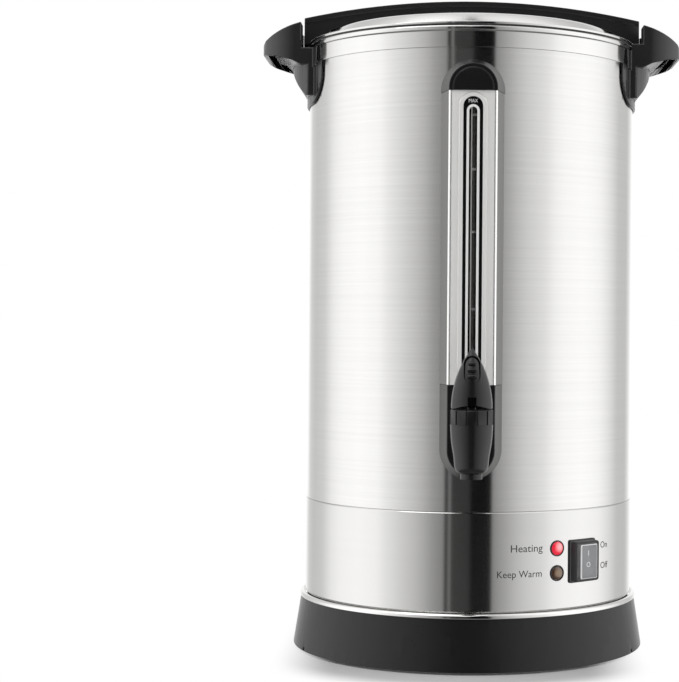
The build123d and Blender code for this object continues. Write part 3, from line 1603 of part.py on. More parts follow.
# Where the lever may be: inside the cam below the pin, anywhere above it
with BuildPart() as cam_zone:
    with BuildSketch(tap_side):
        with Locations((-cam_offset, pin_height)):
            Circle(cam_radius)
        with Locations((0, pin_height + lever_length / 2)):
            Rectangle(4 * lever_radius, lever_length)
    extrude(amount=2 * lever_radius, both=True)

# Slot that the stem's tongue sweeps as the lever is pulled forward
swing = radians(lever_swing)
slot_reach = tongue_half_depth + free
swept_corner = Vector(-slot_reach * cos(swing), slot_reach * sin(swing))
swept_end = swept_corner + Vector(-sin(swing), -cos(swing)) * 2 * cam_radius
with BuildPart() as tongue_room:
    with BuildSketch(tap_side):
        with Locations((0, pin_height)):
            Circle(slot_reach)
            with BuildLine():
                Polyline(
                    (slot_reach, pin_height),
                    (slot_reach, pin_height - 2 * cam_radius),
                    (swept_end.X, pin_height - 2 * cam_radius),
                    (swept_end.X, pin_height + swept_end.Y),
                    (swept_corner.X, pin_height + swept_corner.Y),
                    (0, pin_height),
                    close=True,
                )
            make_face()
    extrude(amount=tongue_thickness / 2 + free, both=True)

# Oval thumb recess in the front with three raised ribs
with BuildPart() as thumb_recess:
    with BuildSketch(Plane.XZ.offset(tap_reach)):
        with Locations((0, recess_centre)):
            SlotOverall(recess_height, recess_width, rotation=90)
    extrude(amount=2 * lever_radius)
    add(lever_form(lever_radius - recess_depth, lever_length - 3 * recess_depth), mode=Mode.SUBTRACT)
    with BuildSketch(Plane.XZ.offset(tap_reach)):
        with Locations((0, recess_centre)):
            with GridLocations(0, rib_pitch, 1, 3):
                SlotOverall(rib_width, rib_height)
    extrude(amount=2 * lever_radius, mode=Mode.SUBTRACT)

with BuildPart() as tap_lever:
    add(lever_form(lever_radius, lever_length))
    add(cam_zone.part, mode=Mode.INTERSECT)
    add(tongue_room.part, mode=Mode.SUBTRACT)
    add(thumb_recess.part, mode=Mode.SUBTRACT)
    with BuildSketch(tap_side):
        with Locations((0, pin_height)):
            Circle(pin_radius + running)
    extrude(amount=2 * lever_radius, both=True, mode=Mode.SUBTRACT)
tap_lever.part.label = "tap_lever"
export_step(tap_lever.part, "parts/tap_lever.step")

with BuildPart() as lever_pin:
    pin_reach = nose_reach(lever_radius, lever_length, pin_height - lever_foot) - free
    with BuildSketch(tap_side):
        with Locations((0, pin_height)):
            Circle(pin_radius)
    extrude(amount=pin_reach, both=True)
lever_pin.part.label = "lever_pin"
export_step(lever_pin.part, "parts/lever_pin.step")

# --------------------------------------------------------------- percolator

with BuildPart() as pump_foot:
    with BuildSketch(Plane.XZ):
        with BuildLine():
            Polyline(
                (pump_foot_radius, well_floor),
                (pump_foot_radius, well_floor + 4),
                (tube_radius + pump_foot_sheet + snug, well_floor + pump_foot_height),
                (tube_radius + snug, well_floor + pump_foot_height),
                (tube_radius + snug, well_floor + pump_foot_height - 4),
                (pump_foot_radius - pump_foot_sheet, well_floor + 3),
                (pump_foot_radius - pump_foot_sheet, well_floor),
                close=True,
            )
        make_face()
    revolve(axis=Axis.Z)
    for azimuth in range(0, 360, 60):
        with BuildSketch(wall_plane(azimuth, well_floor, pump_foot_radius - 5)):
            Rectangle(4, 3)
        extrude(amount=8, mode=Mode.SUBTRACT)
pump_foot.part.label = "pump_foot"
export_step(pump_foot.part, "parts/pump_foot.step")

# Riser tube with the collar that the basket stands on
tube_bottom = well_floor + pump_foot_height - 4
tube_top = basket_top + tube_margin
with BuildPart() as pump_tube:
    with BuildSketch(Plane.XY.offset(tube_bottom)):
        Circle(tube_radius)
    extrude(amount=tube_top - tube_bottom)
    with BuildSketch(Plane.XY.offset(basket_floor)):
        Circle(basket_sleeve + 2)
    extrude(amount=-2)
    with BuildSketch(Plane.XY.offset(tube_bottom)):
        Circle(tube_radius - tube_wall)
    extrude(amount=tube_top - tube_bottom, mode=Mode.SUBTRACT)
pump_tube.part.label = "pump_tube"
export_step(pump_tube.part, "parts/pump_tube.step")

with BuildPart() as coffee_basket:
    with BuildSketch(Plane.XZ):
        with BuildLine():
            Polyline(
                (tube_radius + free, basket_floor),
                (basket_radius, basket_floor),
                (basket_radius, basket_top),
                (basket_radius - basket_sheet, basket_top),
                (basket_radius - basket_sheet, basket_floor + basket_sheet),
                (tube_radius + free + basket_sheet, basket_floor + basket_sheet),
                (tube_radius + free + basket_sheet, basket_top),
                (tube_radius + free, basket_top),
                close=True,
            )
        make_face()
    revolve(axis=Axis.Z)
    with BuildSketch(Plane.XY.offset(basket_floor)):
        for ring in (1, 2, 3):
            with PolarLocations(ring * basket_radius / 4 + 6, 12 * ring):
                Circle(basket_hole_radius)
    extrude(amount=basket_sheet, mode=Mode.SUBTRACT)
coffee_basket.part.label = "coffee_basket"
export_step(coffee_basket.part, "parts/coffee_basket.step")

# Perforated cover that spreads the water over the coffee
with BuildPart() as basket_cover:
    with BuildSketch(Plane.XY.offset(basket_top)):
        Circle(basket_radius + 1)
        Circle(tube_radius + free, mode=Mode.SUBTRACT)
        for ring in (1, 2, 3):
            with PolarLocations(ring * basket_radius / 4 + 6, 8 * ring):
                Circle(cover_hole_radius, mode=Mode.SUBTRACT)
    extrude(amount=basket_sheet)
    with BuildSketch(Plane.XY.offset(basket_top)):
        Circle(basket_radius + 1)
        Circle(basket_radius + 1 - basket_sheet, mode=Mode.SUBTRACT)
    extrude(amount=4)
basket_cover.part.label = "basket_cover"
export_step(basket_cover.part, "parts/basket_cover.step")

# ---------------------------------------------------------------------- lid

with BuildPart() as lid_gasket:
    gasket_inner = gasket_lip_radius - gasket_lip
    with BuildSketch(Plane.XZ):
        with BuildLine():
            Polyline(
                (gasket_inner, collar_top - gasket_depth),
                (gasket_lip_radius, collar_top - gasket_depth),
                (gasket_lip_radius, collar_top),
                (gasket_radius, collar_top),
                (gasket_radius, gasket_top),
                (gasket_inner, gasket_top),
                close=True,
            )
        make_face()
    revolve(axis=Axis.Z)
lid_gasket.part.label = "lid_gasket"
export_step(lid_gasket.part, "parts/lid_gasket.step")

# Pressed lid: a flat plateau, a steep shoulder and a flange with a rolled edge
with BuildPart() as lid_pan:
    with BuildSketch(Plane.XZ) as pan_section:
        with BuildLine():
            Polyline(
                (0, plateau_top),
                (plateau_radius, plateau_top),
                (shoulder_radius - 1.6, flange_top + 2.4),
                (shoulder_radius, flange_top),
                (lid_edge_radius - 1.4, flange_top),
                (lid_edge_radius - 1.0, lid_edge_top),
                (lid_edge_radius - 0.3, lid_edge_top),
                (lid_edge_radius, lid_edge_top - 0.5),
                (lid_edge_radius, gasket_top),
                (shoulder_radius - 1.0, gasket_top),
                (shoulder_radius - 2.5, flange_top + 2.0),
                (plateau_radius - 0.6, plateau_top - lid_sheet),
                (0, plateau_top - lid_sheet),
                close=True,
            )
        make_face()
    revolve(axis=Axis.Z)
    with BuildSketch(Plane.XY.offset(plateau_top)):
        with GridLocations(2 * bar_boss_reach, 0, 2, 1):
            Circle(bar_screw_radius + running)
    extrude(amount=-3 * lid_sheet, mode=Mode.SUBTRACT)
lid_pan.part.label = "lid_pan"
export_step(lid_pan.part, "parts/lid_pan.step")

# Inner skirt that centres the lid in the gasket
with BuildPart() as lid_liner:
    with BuildSketch(Plane.XZ):
        with BuildLine():
            Polyline(
                (liner_radius, gasket_top - liner_depth),
                (liner_radius, gasket_top),
                (liner_radius - liner_shelf, gasket_top),
                (liner_radius - liner_shelf, gasket_top - lid_sheet),
                (liner_radius - lid_sheet, gasket_top - lid_sheet),
                (liner_radius - lid_sheet, gasket_top - liner_depth),
                close=True,
            )
        make_face()
    revolve(axis=Axis.Z)
lid_liner.part.label = "lid_liner"
export_step(lid_liner.part, "parts/lid_liner.step")

# Carrying bar: an arch over the lid whose legs stand on the flange and hook under the handles
bar_curve = (bar_reach**2 + (bar_crown_height - bar_end_height) ** 2) / (
    2 * (bar_crown_height - bar_end_height)
)


def bar_top(reach):
    """Height of the bar's top at a distance from the middle."""
    return bar_crown_height - bar_curve + sqrt(bar_curve**2 - reach**2)


# The bar is drawn past its ends, which this drum then rounds to the lid
bar_end_drum = drum(bar_reach, lid_edge_top - 5, bar_crown_height + 5)
bar_over = bar_reach + 2
bar_left = (-bar_over, bar_top(bar_over))
bar_middle = (0, bar_crown_height)
bar_right = (bar_over, bar_top(bar_over))

# Top strip, a little wider than the bar below it
with BuildPart() as bar_strip:
    with BuildSketch(Plane.XZ):
        with BuildLine():
            ThreePointArc(bar_left, bar_middle, bar_right)
            Line(bar_right, (bar_over, bar_top(bar_over) - bar_lip_height))
            ThreePointArc(
                (bar_over, bar_top(bar_over) - bar_lip_height),
                (0, bar_crown_height - bar_lip_height),
                (-bar_over, bar_top(bar_over) - bar_lip_height),
            )
            Line((-bar_over, bar_top(bar_over) - bar_lip_height), bar_left)
        make_face()
    extrude(amount=bar_depth / 2 + bar_lip, both=True)
    add(bar_end_drum, mode=Mode.INTERSECT)

with BuildPart() as lid_bar:
    with BuildSketch(Plane.XZ):
        with BuildLine():
            ThreePointArc(bar_left, bar_middle, bar_right)
            Polyline(
                bar_right,
                (bar_over, lid_edge_top),
                (bar_leg_reach, lid_edge_top),
                (bar_leg_reach, lid_edge_top + 2),
                (bar_knee_reach, bar_knee_height),
                (bar_span, bar_top(bar_span) - bar_thickness),
            )
            ThreePointArc(
                (bar_span, bar_top(bar_span) - bar_thickness),
                (0, bar_crown_height - bar_thickness),
                (-bar_span, bar_top(bar_span) - bar_thickness),
            )
            Polyline(
                (-bar_span, bar_top(bar_span) - bar_thickness),
                (-bar_knee_reach, bar_knee_height),
                (-bar_leg_reach, lid_edge_top + 2),
                (-bar_leg_reach, lid_edge_top),
                (-bar_over, lid_edge_top),
                bar_left,
            )
        make_face()
    extrude(amount=bar_depth / 2, both=True)
    add(bar_end_drum, mode=Mode.INTERSECT)
    add(bar_strip.part)
    with BuildSketch(Plane.XY.offset(plateau_top)):
        with GridLocations(2 * bar_boss_reach, 0, 2, 1):
            Circle(bar_boss_radius)
    extrude(amount=bar_knee_height - plateau_top + 4)
    for turn in (0, 180):
        add(sector(hook_radius, bar_reach, tab_bottom, lid_edge_top + 3,
                   turn - tab_half_angle, turn + tab_half_angle))
        add(sector(hook_radius, tab_reach, tab_bottom, tab_top,
                   turn - tab_half_angle, turn + tab_half_angle))
    with BuildSketch(Plane.XY.offset(plateau_top)):
        with GridLocations(2 * bar_boss_reach, 0, 2, 1):
            Circle(bar_screw_radius)
    extrude(amount=9, mode=Mode.SUBTRACT)
lid_bar.part.label = "lid_bar"
export_step(lid_bar.part, "parts/lid_bar.step")

with BuildPart() as lid_bar_screws:
    for reach in (-bar_boss_reach, bar_boss_reach):
        seat = Plane(origin=(reach, 0, plateau_top - lid_sheet), x_dir=(1, 0, 0), z_dir=(0, 0, -1))
        add(screw(seat, bar_screw_radius * 1.8, 1.6, bar_screw_radius, 8))
lid_bar_screws.part.label = "lid_bar_screws"
export_step(lid_bar_screws.part, "parts/lid_bar_screws.step")
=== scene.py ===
# %% [markdown]
# # A coffee urn in Blender
# This lesson dresses the model of a tall steel coffee urn. The frame holds every part at its true
# size and place: the tank, the base, the level gauge, the tap, the handles and the lid with its
# carrying bar. Each cell adds one thing: the camera, the studio, a finish or a better-looking
# piece. Most lengths are worked out in millimetres and turned into metres with MM. A bearing is
# an angle in degrees from the front, where the tap is, towards the right.

# %% Load the frame
from math import atan2, cos, degrees, pi, radians, sin, sqrt

import bmesh
import bpy
from mathutils import Matrix, Vector
from mathutils.bvhtree import BVHTree


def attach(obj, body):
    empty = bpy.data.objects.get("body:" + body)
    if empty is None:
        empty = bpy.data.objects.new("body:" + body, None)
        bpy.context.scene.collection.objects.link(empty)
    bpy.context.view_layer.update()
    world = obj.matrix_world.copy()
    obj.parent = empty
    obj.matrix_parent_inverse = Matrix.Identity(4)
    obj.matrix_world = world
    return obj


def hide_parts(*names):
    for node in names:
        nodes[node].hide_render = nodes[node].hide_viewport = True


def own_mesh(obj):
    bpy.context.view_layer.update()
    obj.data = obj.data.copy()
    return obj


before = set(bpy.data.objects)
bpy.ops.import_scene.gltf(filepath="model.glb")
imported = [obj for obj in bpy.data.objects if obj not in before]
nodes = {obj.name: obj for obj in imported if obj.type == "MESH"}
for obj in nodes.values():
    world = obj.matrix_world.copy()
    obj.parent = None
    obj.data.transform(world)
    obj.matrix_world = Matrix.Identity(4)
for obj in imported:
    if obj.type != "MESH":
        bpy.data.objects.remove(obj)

MM = 0.001
BAND = 125.6  # the base band's outer radius
LAMP_BEARING, HEAT_LAMP_HEIGHT, WARM_LAMP_HEIGHT = 30.0, 86.4, 68.7
SWITCH_BEARING, SWITCH_HEIGHT = 40.0, 76.4
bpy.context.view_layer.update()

# %% [markdown]
# ## Camera
# The urn stands with its tap towards the viewer. A long lens from a little over a metre keeps the
# upright sides almost parallel. The urn's axis stands right of the picture's middle, and the lens
# shift does that without turning the camera. The camera stands a little to the left of the tap, so
# a bit more of the gauge's left flank shows than of its right one. It is rolled by less than half
# a degree, as a tripod on a real floor often leaves it.

# %% Camera in front of the tap
PICTURE = (679, 682)
SENSOR = 36.0
FOCAL_PIXELS = 1723.0
AXIS_PIXEL = (469.5, 326.0)
ROLL = -0.45
ASIDE = -0.6
CAMERA_AWAY = 1.341
CAMERA_UP = 0.245
camera_data = bpy.data.cameras.new("urn_camera")
camera_data.sensor_width = SENSOR
camera_data.lens = SENSOR * FOCAL_PIXELS / max(PICTURE)
camera_data.shift_x = (PICTURE[0] / 2 - AXIS_PIXEL[0]) / max(PICTURE)
camera_data.shift_y = (AXIS_PIXEL[1] - PICTURE[1] / 2) / max(PICTURE)
camera_data.clip_end = 50.0
camera = bpy.data.objects.new("urn_camera", camera_data)
bpy.context.scene.collection.objects.link(camera)
camera.location = (CAMERA_AWAY * sin(radians(ASIDE)), -CAMERA_AWAY * cos(radians(ASIDE)), CAMERA_UP)
camera.rotation_euler = (radians(90.0), radians(ROLL), radians(ASIDE))
bpy.context.scene.camera = camera
bpy.context.scene.view_settings.view_transform = "Standard"
print("lens", round(camera_data.lens, 2),
      "shift", round(camera_data.shift_x, 4), round(camera_data.shift_y, 4))

# %% [markdown]
# ## Writing patterns as sums
# A finish is a small program: streaks, specks and stains are values that are added and multiplied.
# Wiring each Math node by hand hides that, so one small class wraps a socket, and a sum of two
# wrapped sockets makes the Math node by itself. Every other kind of node comes from one method,
# and the two that are wanted most, a smooth step and a mix of two colours, have short names.


# %% A socket that can be added and multiplied
class Value:
    """One output of a shader's node tree."""

    def __init__(self, board, socket):
        self.board, self.socket = board, socket

    def _math(self, kind, first, second):
        return self.board.node("ShaderNodeMath", {"operation": kind}, {0: first, 1: second})

    def __add__(self, other): return self._math("ADD", self, other)
    def __radd__(self, other): return self._math("ADD", other, self)
    def __sub__(self, other): return self._math("SUBTRACT", self, other)
    def __rsub__(self, other): return self._math("SUBTRACT", other, self)
    def __mul__(self, other): return self._math("MULTIPLY", self, other)
    def __rmul__(self, other): return self._math("MULTIPLY", other, self)
    def __truediv__(self, other): return self._math("DIVIDE", self, other)
    def __lt__(self, other): return self._math("LESS_THAN", self, other)
    def __gt__(self, other): return self._math("GREATER_THAN", self, other)
    def __abs__(self): return self._math("ABSOLUTE", self, 0.0)


class Board:
    """A node tree, with one method that makes any node and short names for two common ones."""

    def __init__(self, tree):
        self.tree = tree
        tree.nodes.clear()

    def node(self, kind, settings=None, inputs=None, out=0):
        made = self.tree.nodes.new(kind)
        for name, value in (settings or {}).items():
            if name == "stops":
                ramp = made.color_ramp
                while len(ramp.elements) < len(value):
                    ramp.elements.new(0.5)
                for stop, (place, colour) in zip(ramp.elements, value):
                    stop.position = place
                for stop, (place, colour) in zip(ramp.elements, value):
                    stop.color = colour
            else:
                setattr(made, name, value)
        for name, value in (inputs or {}).items():
            if isinstance(value, Value):
                self.tree.links.new(value.socket, made.inputs[name])
            else:
                made.inputs[name].default_value = value
        return Value(self, made.outputs[out]) if len(made.outputs) else made

    def steps(self, value, low, high):
        """0 before low, 1 beyond high, smooth between."""
        return self.node("ShaderNodeMapRange", {"interpolation_type": "SMOOTHSTEP"},
                         {"Value": value, "From Min": low, "From Max": high}, out="Result")

    def blend(self, share, first, second):
        """First colour at share 0, second at share 1."""
        return self.node("ShaderNodeMix", {"data_type": "RGBA"}, {0: share, 6: first, 7: second},
                         out=2)


print("sockets can be added")

# %% [markdown]
# ## Studio
# Polished steel shows the room, not itself. The room here is a white studio with a gap between two
# big soft lamps in front of the urn: that gap gives the dark upright stripe with sharp edges down
# the middle of the tank. The room is painted on the world by direction: a ramp over the compass
# angle, and plain white overhead. Towards the camera the world is simply white.

# %% Studio room painted on the world
def grey(level):
    return (level, level, level, 1.0)


world = bpy.data.worlds.new("studio")
bpy.context.scene.world = world
world.use_nodes = True
room = Board(world.node_tree)
direction = room.node("ShaderNodeTexCoord", out="Generated")
east, north, height = (room.node("ShaderNodeSeparateXYZ", inputs={0: direction}, out=letter)
                       for letter in "XYZ")
turned_by = room.node("ShaderNodeMath", {"operation": "ARCTAN2"}, {0: east, 1: -1.0 * north})
compass = turned_by / (2 * pi) + 0.5 - ASIDE / 360
# compass is 0.5 towards the camera, 0.75 to its right and 0.25 to its left
# a stop is (degrees from the camera towards its right, brightness)
left_stops = [
    (-180, 1.15), (-160, 1.10), (-151, 0.85), (-139, 0.80), (-123, 0.95), (-111, 1.32),
    (-100, 1.50), (-82, 1.58), (-66, 1.49), (-59, 1.29), (-52, 1.14), (-45, 0.98), (-38, 0.84),
    (-31, 0.67), (-24.6, 0.48), (-18, 0.36), (-16.4, 0.34), (-15.9, 0.012), (-14.2, 0.012),
    (-13.6, 0.30), (-11.9, 0.30), (-11.4, 0.055), (0.0, 0.05)]
right_stops = [
    (0.0, 0.05), (0.8, 0.05), (2.0, 0.006), (16.2, 0.006), (16.9, 0.38), (26.8, 0.62),
    (33.4, 0.80), (40, 0.95), (54, 1.18), (61, 1.39), (69, 1.51), (85, 1.58), (94, 1.54),
    (104, 1.45), (115, 1.20), (128, 0.84), (145, 0.74), (160, 1.10), (180, 1.15)]
OVERHEAD_FROM, OVERHEAD_TO, OVERHEAD = 0.9990, 0.9999, 1.15
BELOW_FROM, BELOW_TO, BELOW = -0.42, -0.66, 0.30


def wall(stops):
    marks = [((angle + 180) / 360, grey(level)) for angle, level in stops]
    return room.node("ShaderNodeValToRGB", {"stops": marks}, {0: compass}, out="Color")


walls = room.blend(compass > 0.5, wall(left_stops), wall(right_stops))
sky = room.blend(room.steps(height, OVERHEAD_FROM, OVERHEAD_TO), walls, grey(OVERHEAD))
sky = room.blend(room.steps(height, BELOW_FROM, BELOW_TO), sky, grey(BELOW))
shown = room.blend(room.node("ShaderNodeLightPath", out="Is Camera Ray"), sky, grey(1.0))
surround = room.node("ShaderNodeBackground", inputs={"Color": shown, "Strength": 1.0})
room.node("ShaderNodeOutputWorld", inputs={"Surface": surround})
print("room painted with", len(left_stops) + len(right_stops), "tones")

# %% [markdown]
# ## Floor
# The floor is a wide pale sheet. It is hidden from mirror-like reflections, because the steel
# should show the studio's walls down to its foot, but it still takes the urn's soft shadow. For
# the camera only, the sheet is duller close in front of the urn's foot and behind it, where little
# light gets in, and it fades to the white of the background a few fingers away, so no horizon
# shows.

# %% Pale floor
def link(thing):
    bpy.context.scene.collection.objects.link(thing)
    return thing


def mesh_object(name, form, smooth=35.0):
    """A mesh object from a bmesh, shaded smooth except over sharp edges."""
    mesh = bpy.data.meshes.new(name)
    form.to_mesh(mesh)
    form.free()
    mesh.shade_smooth()
    mesh.set_sharp_from_angle(angle=radians(smooth))
    return link(bpy.data.objects.new(name, mesh))


FLOOR_HALF = 6.0
FOOT_MIDDLE = -0.006
SHADE_OUT, WHITE_OUT = 0.152, 0.192  # away from the urn's axis
SHADE_ASIDE, WHITE_ASIDE = 0.088, 0.140  # to the side of the foot's middle

sheet = bmesh.new()
bmesh.ops.create_grid(sheet, x_segments=1, y_segments=1, size=FLOOR_HALF)
floor = mesh_object("studio_floor", sheet)
floor_paint = bpy.data.materials.new("floor_paint")
floor_paint.use_nodes = True
board = Board(floor_paint.node_tree)
matt = board.node("ShaderNodeBsdfDiffuse", inputs={"Color": grey(0.86)})
spot = board.node("ShaderNodeTexCoord", out="Object")
from_axis = board.node("ShaderNodeVectorMath", {"operation": "LENGTH"}, {0: spot}, out="Value")
to_side = abs(board.node("ShaderNodeSeparateXYZ", inputs={0: spot}, out="X") - FOOT_MIDDLE)
outward = board.steps(from_axis, SHADE_OUT, WHITE_OUT)
sideways = board.steps(to_side, SHADE_ASIDE, WHITE_ASIDE)
fade = 1.0 - (1.0 - outward) * (1.0 - sideways)
shade = board.node("ShaderNodeBsdfDiffuse", inputs={"Color": grey(0.52)})
white = board.node("ShaderNodeEmission", inputs={"Color": grey(1.0), "Strength": 1.0})
shown_floor = board.node("ShaderNodeMixShader", inputs={0: fade, 1: shade, 2: white})
to_camera = board.node("ShaderNodeLightPath", out="Is Camera Ray")
floor_shader = board.node("ShaderNodeMixShader", inputs={0: to_camera, 1: matt, 2: shown_floor})
board.node("ShaderNodeOutputMaterial", inputs={"Surface": floor_shader})
floor.data.materials.append(floor_paint)
floor.visible_glossy = False
print("floor laid")

# %% [markdown]
# ## Soft lamp
# One large soft lamp above and in front gives the black mouldings their gradients and the floor
# a faint shadow. It is wide, so nothing gets a hard edge.

# %% Lamp above the urn
lamp_data = bpy.data.lights.new("soft_lamp", "AREA")
lamp_data.shape = "RECTANGLE"
lamp_data.size, lamp_data.size_y = 1.6, 1.2
lamp_data.energy = 9.0
soft_lamp = link(bpy.data.objects.new("soft_lamp", lamp_data))
soft_lamp.location = (-0.5, -0.9, 1.9)
towards_urn = Vector((0, 0, 0.3)) - soft_lamp.location
soft_lamp.rotation_euler = towards_urn.to_track_quat("-Z", "Y").to_euler()
print("lamp energy", lamp_data.energy)

# %% [markdown]
# ## A finish
# Each finish is one principled shader. What is the same all over goes straight on the shader's own
# sockets; what changes over the surface, such as brushing, is built on the board first.


# %% Helper for finishes
class Finish(Board):
    """A material with one principled shader."""

    def __init__(self, name):
        self.material = bpy.data.materials.new(name)
        self.material.use_nodes = True
        super().__init__(self.material.node_tree)
        self.place = self.node("ShaderNodeTexCoord", out="Object")

    def axis(self, letter):
        return self.node("ShaderNodeSeparateXYZ", inputs={0: self.place}, out=letter)

    def noise(self, scale, detail, rough=0.5):
        """Noise with so many waves to a metre; three numbers give each axis its own."""
        place = self.place
        if isinstance(scale, tuple):
            place = self.node("ShaderNodeMapping", inputs={"Vector": place, "Scale": scale})
            scale = 1.0
        return self.node("ShaderNodeTexNoise", {"noise_dimensions": "3D"},
                         {"Vector": place, "Scale": scale, "Detail": detail, "Roughness": rough})

    def bump(self, value, depth, strength):
        return self.node("ShaderNodeBump", out="Normal",
                         inputs={"Strength": strength, "Distance": depth, "Height": value})

    def done(self, **sockets):
        shader = self.tree.nodes.new("ShaderNodeBsdfPrincipled")
        for name, value in sockets.items():
            socket = shader.inputs[name.replace("_", " ")]
            if isinstance(value, Value):
                self.tree.links.new(value.socket, socket)
            else:
                socket.default_value = value
        self.node("ShaderNodeOutputMaterial", inputs={"Surface": Value(self, shader.outputs[0])})
        return self.material


def tint(red, green, blue):
    return (red, green, blue, 1.0)


def warm(level):
    """A steel grey, a touch warmer than neutral."""
    return (level, level * 0.992, level * 0.975, 1.0)


print("finishes can be mixed")

# %% [markdown]
# ## Brushed steel
# The tank's sheet was run against an abrasive belt, which leaves fine level scratches. They spread
# a reflection up and down but hardly sideways, so an upright lamp keeps sharp edges. The shader's
# anisotropy does that, and noise that is squeezed along the height draws the scratches themselves.
# The sheet was rolled into a tube and welded: a thin upright line at the back shows the weld.


# %% Steel finishes
SCRATCHES = 2600.0  # waves to a metre across the brushing
ALONG = 9.0  # and along it
UP_AND_DOWN, SIDEWAYS = 0.25, 0.0  # ways in which brushing spreads a reflection


def brushed_steel(name, level=0.62, rough=0.15, streak=1.0, weld_at=0.0):
    """Steel brushed level. The weld is at the back, weld_at to the right of the middle."""
    steel = Finish(name)
    fine = steel.noise((ALONG, ALONG, SCRATCHES), 3.0, 0.6)
    broad = steel.noise((3.0, 3.0, 420.0), 2.0)
    smudge = steel.noise(9.0, 3.0)
    tone = steel.blend(0.65 * fine + 0.35 * broad,
                       warm(level * (1.0 - 0.10 * streak)), warm(level * (1.0 + 0.10 * streak)))
    gloss = rough + 0.03 * streak * (fine - 0.5) + 0.02 * (smudge - 0.5)
    if weld_at is not None:
        weld = (abs(steel.axis("X") - weld_at) < 0.6 * MM) * (steel.axis("Y") > 0.0)
        tone = steel.blend(0.35 * weld, tone, warm(level * 0.45))
        gloss = gloss + 0.15 * weld
    return steel.done(Base_Color=tone, Metallic=1.0, Roughness=gloss, Anisotropic=1.0,
                      Anisotropic_Rotation=UP_AND_DOWN,
                      Normal=steel.bump(fine, 0.02 * MM * streak, 0.35))


def plain_steel(name, level, rough, grain=140.0):
    steel = Finish(name)
    mottle = steel.noise(grain, 3.0)
    cloud = steel.noise(22.0, 2.0)
    tone = steel.blend(0.5 * mottle + 0.5 * cloud, warm(level * 0.90), warm(level * 1.06))
    return steel.done(Base_Color=tone, Metallic=1.0, Roughness=rough + 0.10 * (mottle - 0.5),
                      Normal=steel.bump(mottle, 0.01 * MM, 0.3))


tank_steel = brushed_steel("tank_steel")
band_steel = brushed_steel("band_steel", 0.59, 0.17, 0.35, weld_at=-45.0 * MM)
collar_steel = brushed_steel("collar_steel", 0.63, 0.13, 0.6)
lid_steel = brushed_steel("lid_steel", 0.62, 0.14, 0.6, weld_at=None)


def channel_steel(name, half_front):
    """Steel brushed along its length: a wide soft front painted pale as light, bright rolled edges,
    and flanks painted dark as shade.
    """
    steel = Finish(name)
    fine = steel.noise((SCRATCHES, SCRATCHES, ALONG), 3.0, 0.6)
    aside = abs(steel.axis("X"))
    # the flanks' dark tone is painted shade
    shaded_flank = steel.steps(aside, half_front + 0.7 * MM, half_front + 1.5 * MM)
    edge = steel.steps(aside, half_front - 1.4 * MM, half_front - 0.9 * MM) * (1.0 - shaded_flank)
    # the front's pale tone, which shows through its lower metallic share, is painted light
    front = steel.blend(fine, warm(0.88), warm(0.97))
    tone = steel.blend(shaded_flank, front, warm(0.32))
    matt = (1.0 - edge) * (1.0 - shaded_flank)
    gloss = 0.72 - 0.50 * edge + 0.04 * (fine - 0.5)
    return steel.done(Base_Color=tone, Metallic=1.0 - 0.4 * matt, Roughness=gloss, Anisotropic=1.0,
                      Anisotropic_Rotation=SIDEWAYS, Normal=steel.bump(fine, 0.01 * MM, 0.3))


gauge_steel = channel_steel("gauge_steel", 16.0 * MM)
trim_steel = plain_steel("trim_steel", 0.70, 0.10, 260.0)
inner_steel = plain_steel("inner_steel", 0.58, 0.27)
plated_sheet = plain_steel("plated_sheet", 0.52, 0.36, 60.0)
sheath_metal = plain_steel("sheath_metal", 0.16, 0.48, 400.0)
dark_steel = plain_steel("dark_steel", 0.05, 0.45, 300.0)
print("steel finishes: 10")

# %% [markdown]
# ## Plastics, rubber and small parts
# The black mouldings are heat-proof plastic with a satin skin: dark, with broad soft highlights and
# a very fine grain. Rubber and silicone scatter light, so they get a higher roughness and specks.


# %% Moulded finishes
def moulded(name, colour, rough, grain=900.0, depth=0.02, vary=0.12, **more):
    """Grain is the skin's waves to a metre, and depth how deep they are in mm."""
    plastic = Finish(name)
    skin = plastic.noise(grain, 2.0)
    cloud = plastic.noise(30.0, 3.0)
    dark = tuple(c * (1.0 - vary) for c in colour) + (1.0,)
    pale = tuple(c * (1.0 + vary) for c in colour) + (1.0,)
    return plastic.done(Base_Color=plastic.blend(0.4 * skin + 0.6 * cloud, dark, pale),
                        Roughness=rough + 0.10 * (cloud - 0.5) + 0.06 * (skin - 0.5),
                        Normal=plastic.bump(skin, depth * MM, 0.4), **more)


handle_black = moulded("handle_black", (0.014, 0.014, 0.0145), 0.30)
skirt_black = moulded("skirt_black", (0.009, 0.009, 0.0095), 0.30, Specular_IOR_Level=0.30)
tap_black = moulded("tap_black", (0.009, 0.009, 0.0095), 0.22, Specular_IOR_Level=0.36)
scale_black = moulded("scale_black", (0.004, 0.004, 0.004), 0.14, 700.0, 0.01)
matte_black = moulded("matte_black", (0.018, 0.018, 0.019), 0.50, 700.0, 0.04)
switch_grey = moulded("switch_grey", (0.14, 0.15, 0.16), 0.32)
foot_rubber = moulded("foot_rubber", (0.030, 0.030, 0.030), 0.75, 500.0, 0.06)
seal_rubber = moulded("seal_rubber", (0.028, 0.028, 0.028), 0.60, 600.0, 0.04)
gasket_silicone = moulded("gasket_silicone", (0.72, 0.71, 0.68), 0.48, 500.0, 0.03, 0.05)
lead_sleeve = moulded("lead_sleeve", (0.52, 0.50, 0.46), 0.85, 1400.0, 0.1)
brass = moulded("brass", (0.72, 0.54, 0.25), 0.24, 500.0, 0.02, 0.08, Metallic=1.0)
print("moulded finishes: 11")

# %% [markdown]
# ## Clear parts
# Two parts let light through: the switch's soft cover and the gauge's glass tube. They are thin,
# so alpha is enough and no light has to be bent. How clear they are changes over the surface.


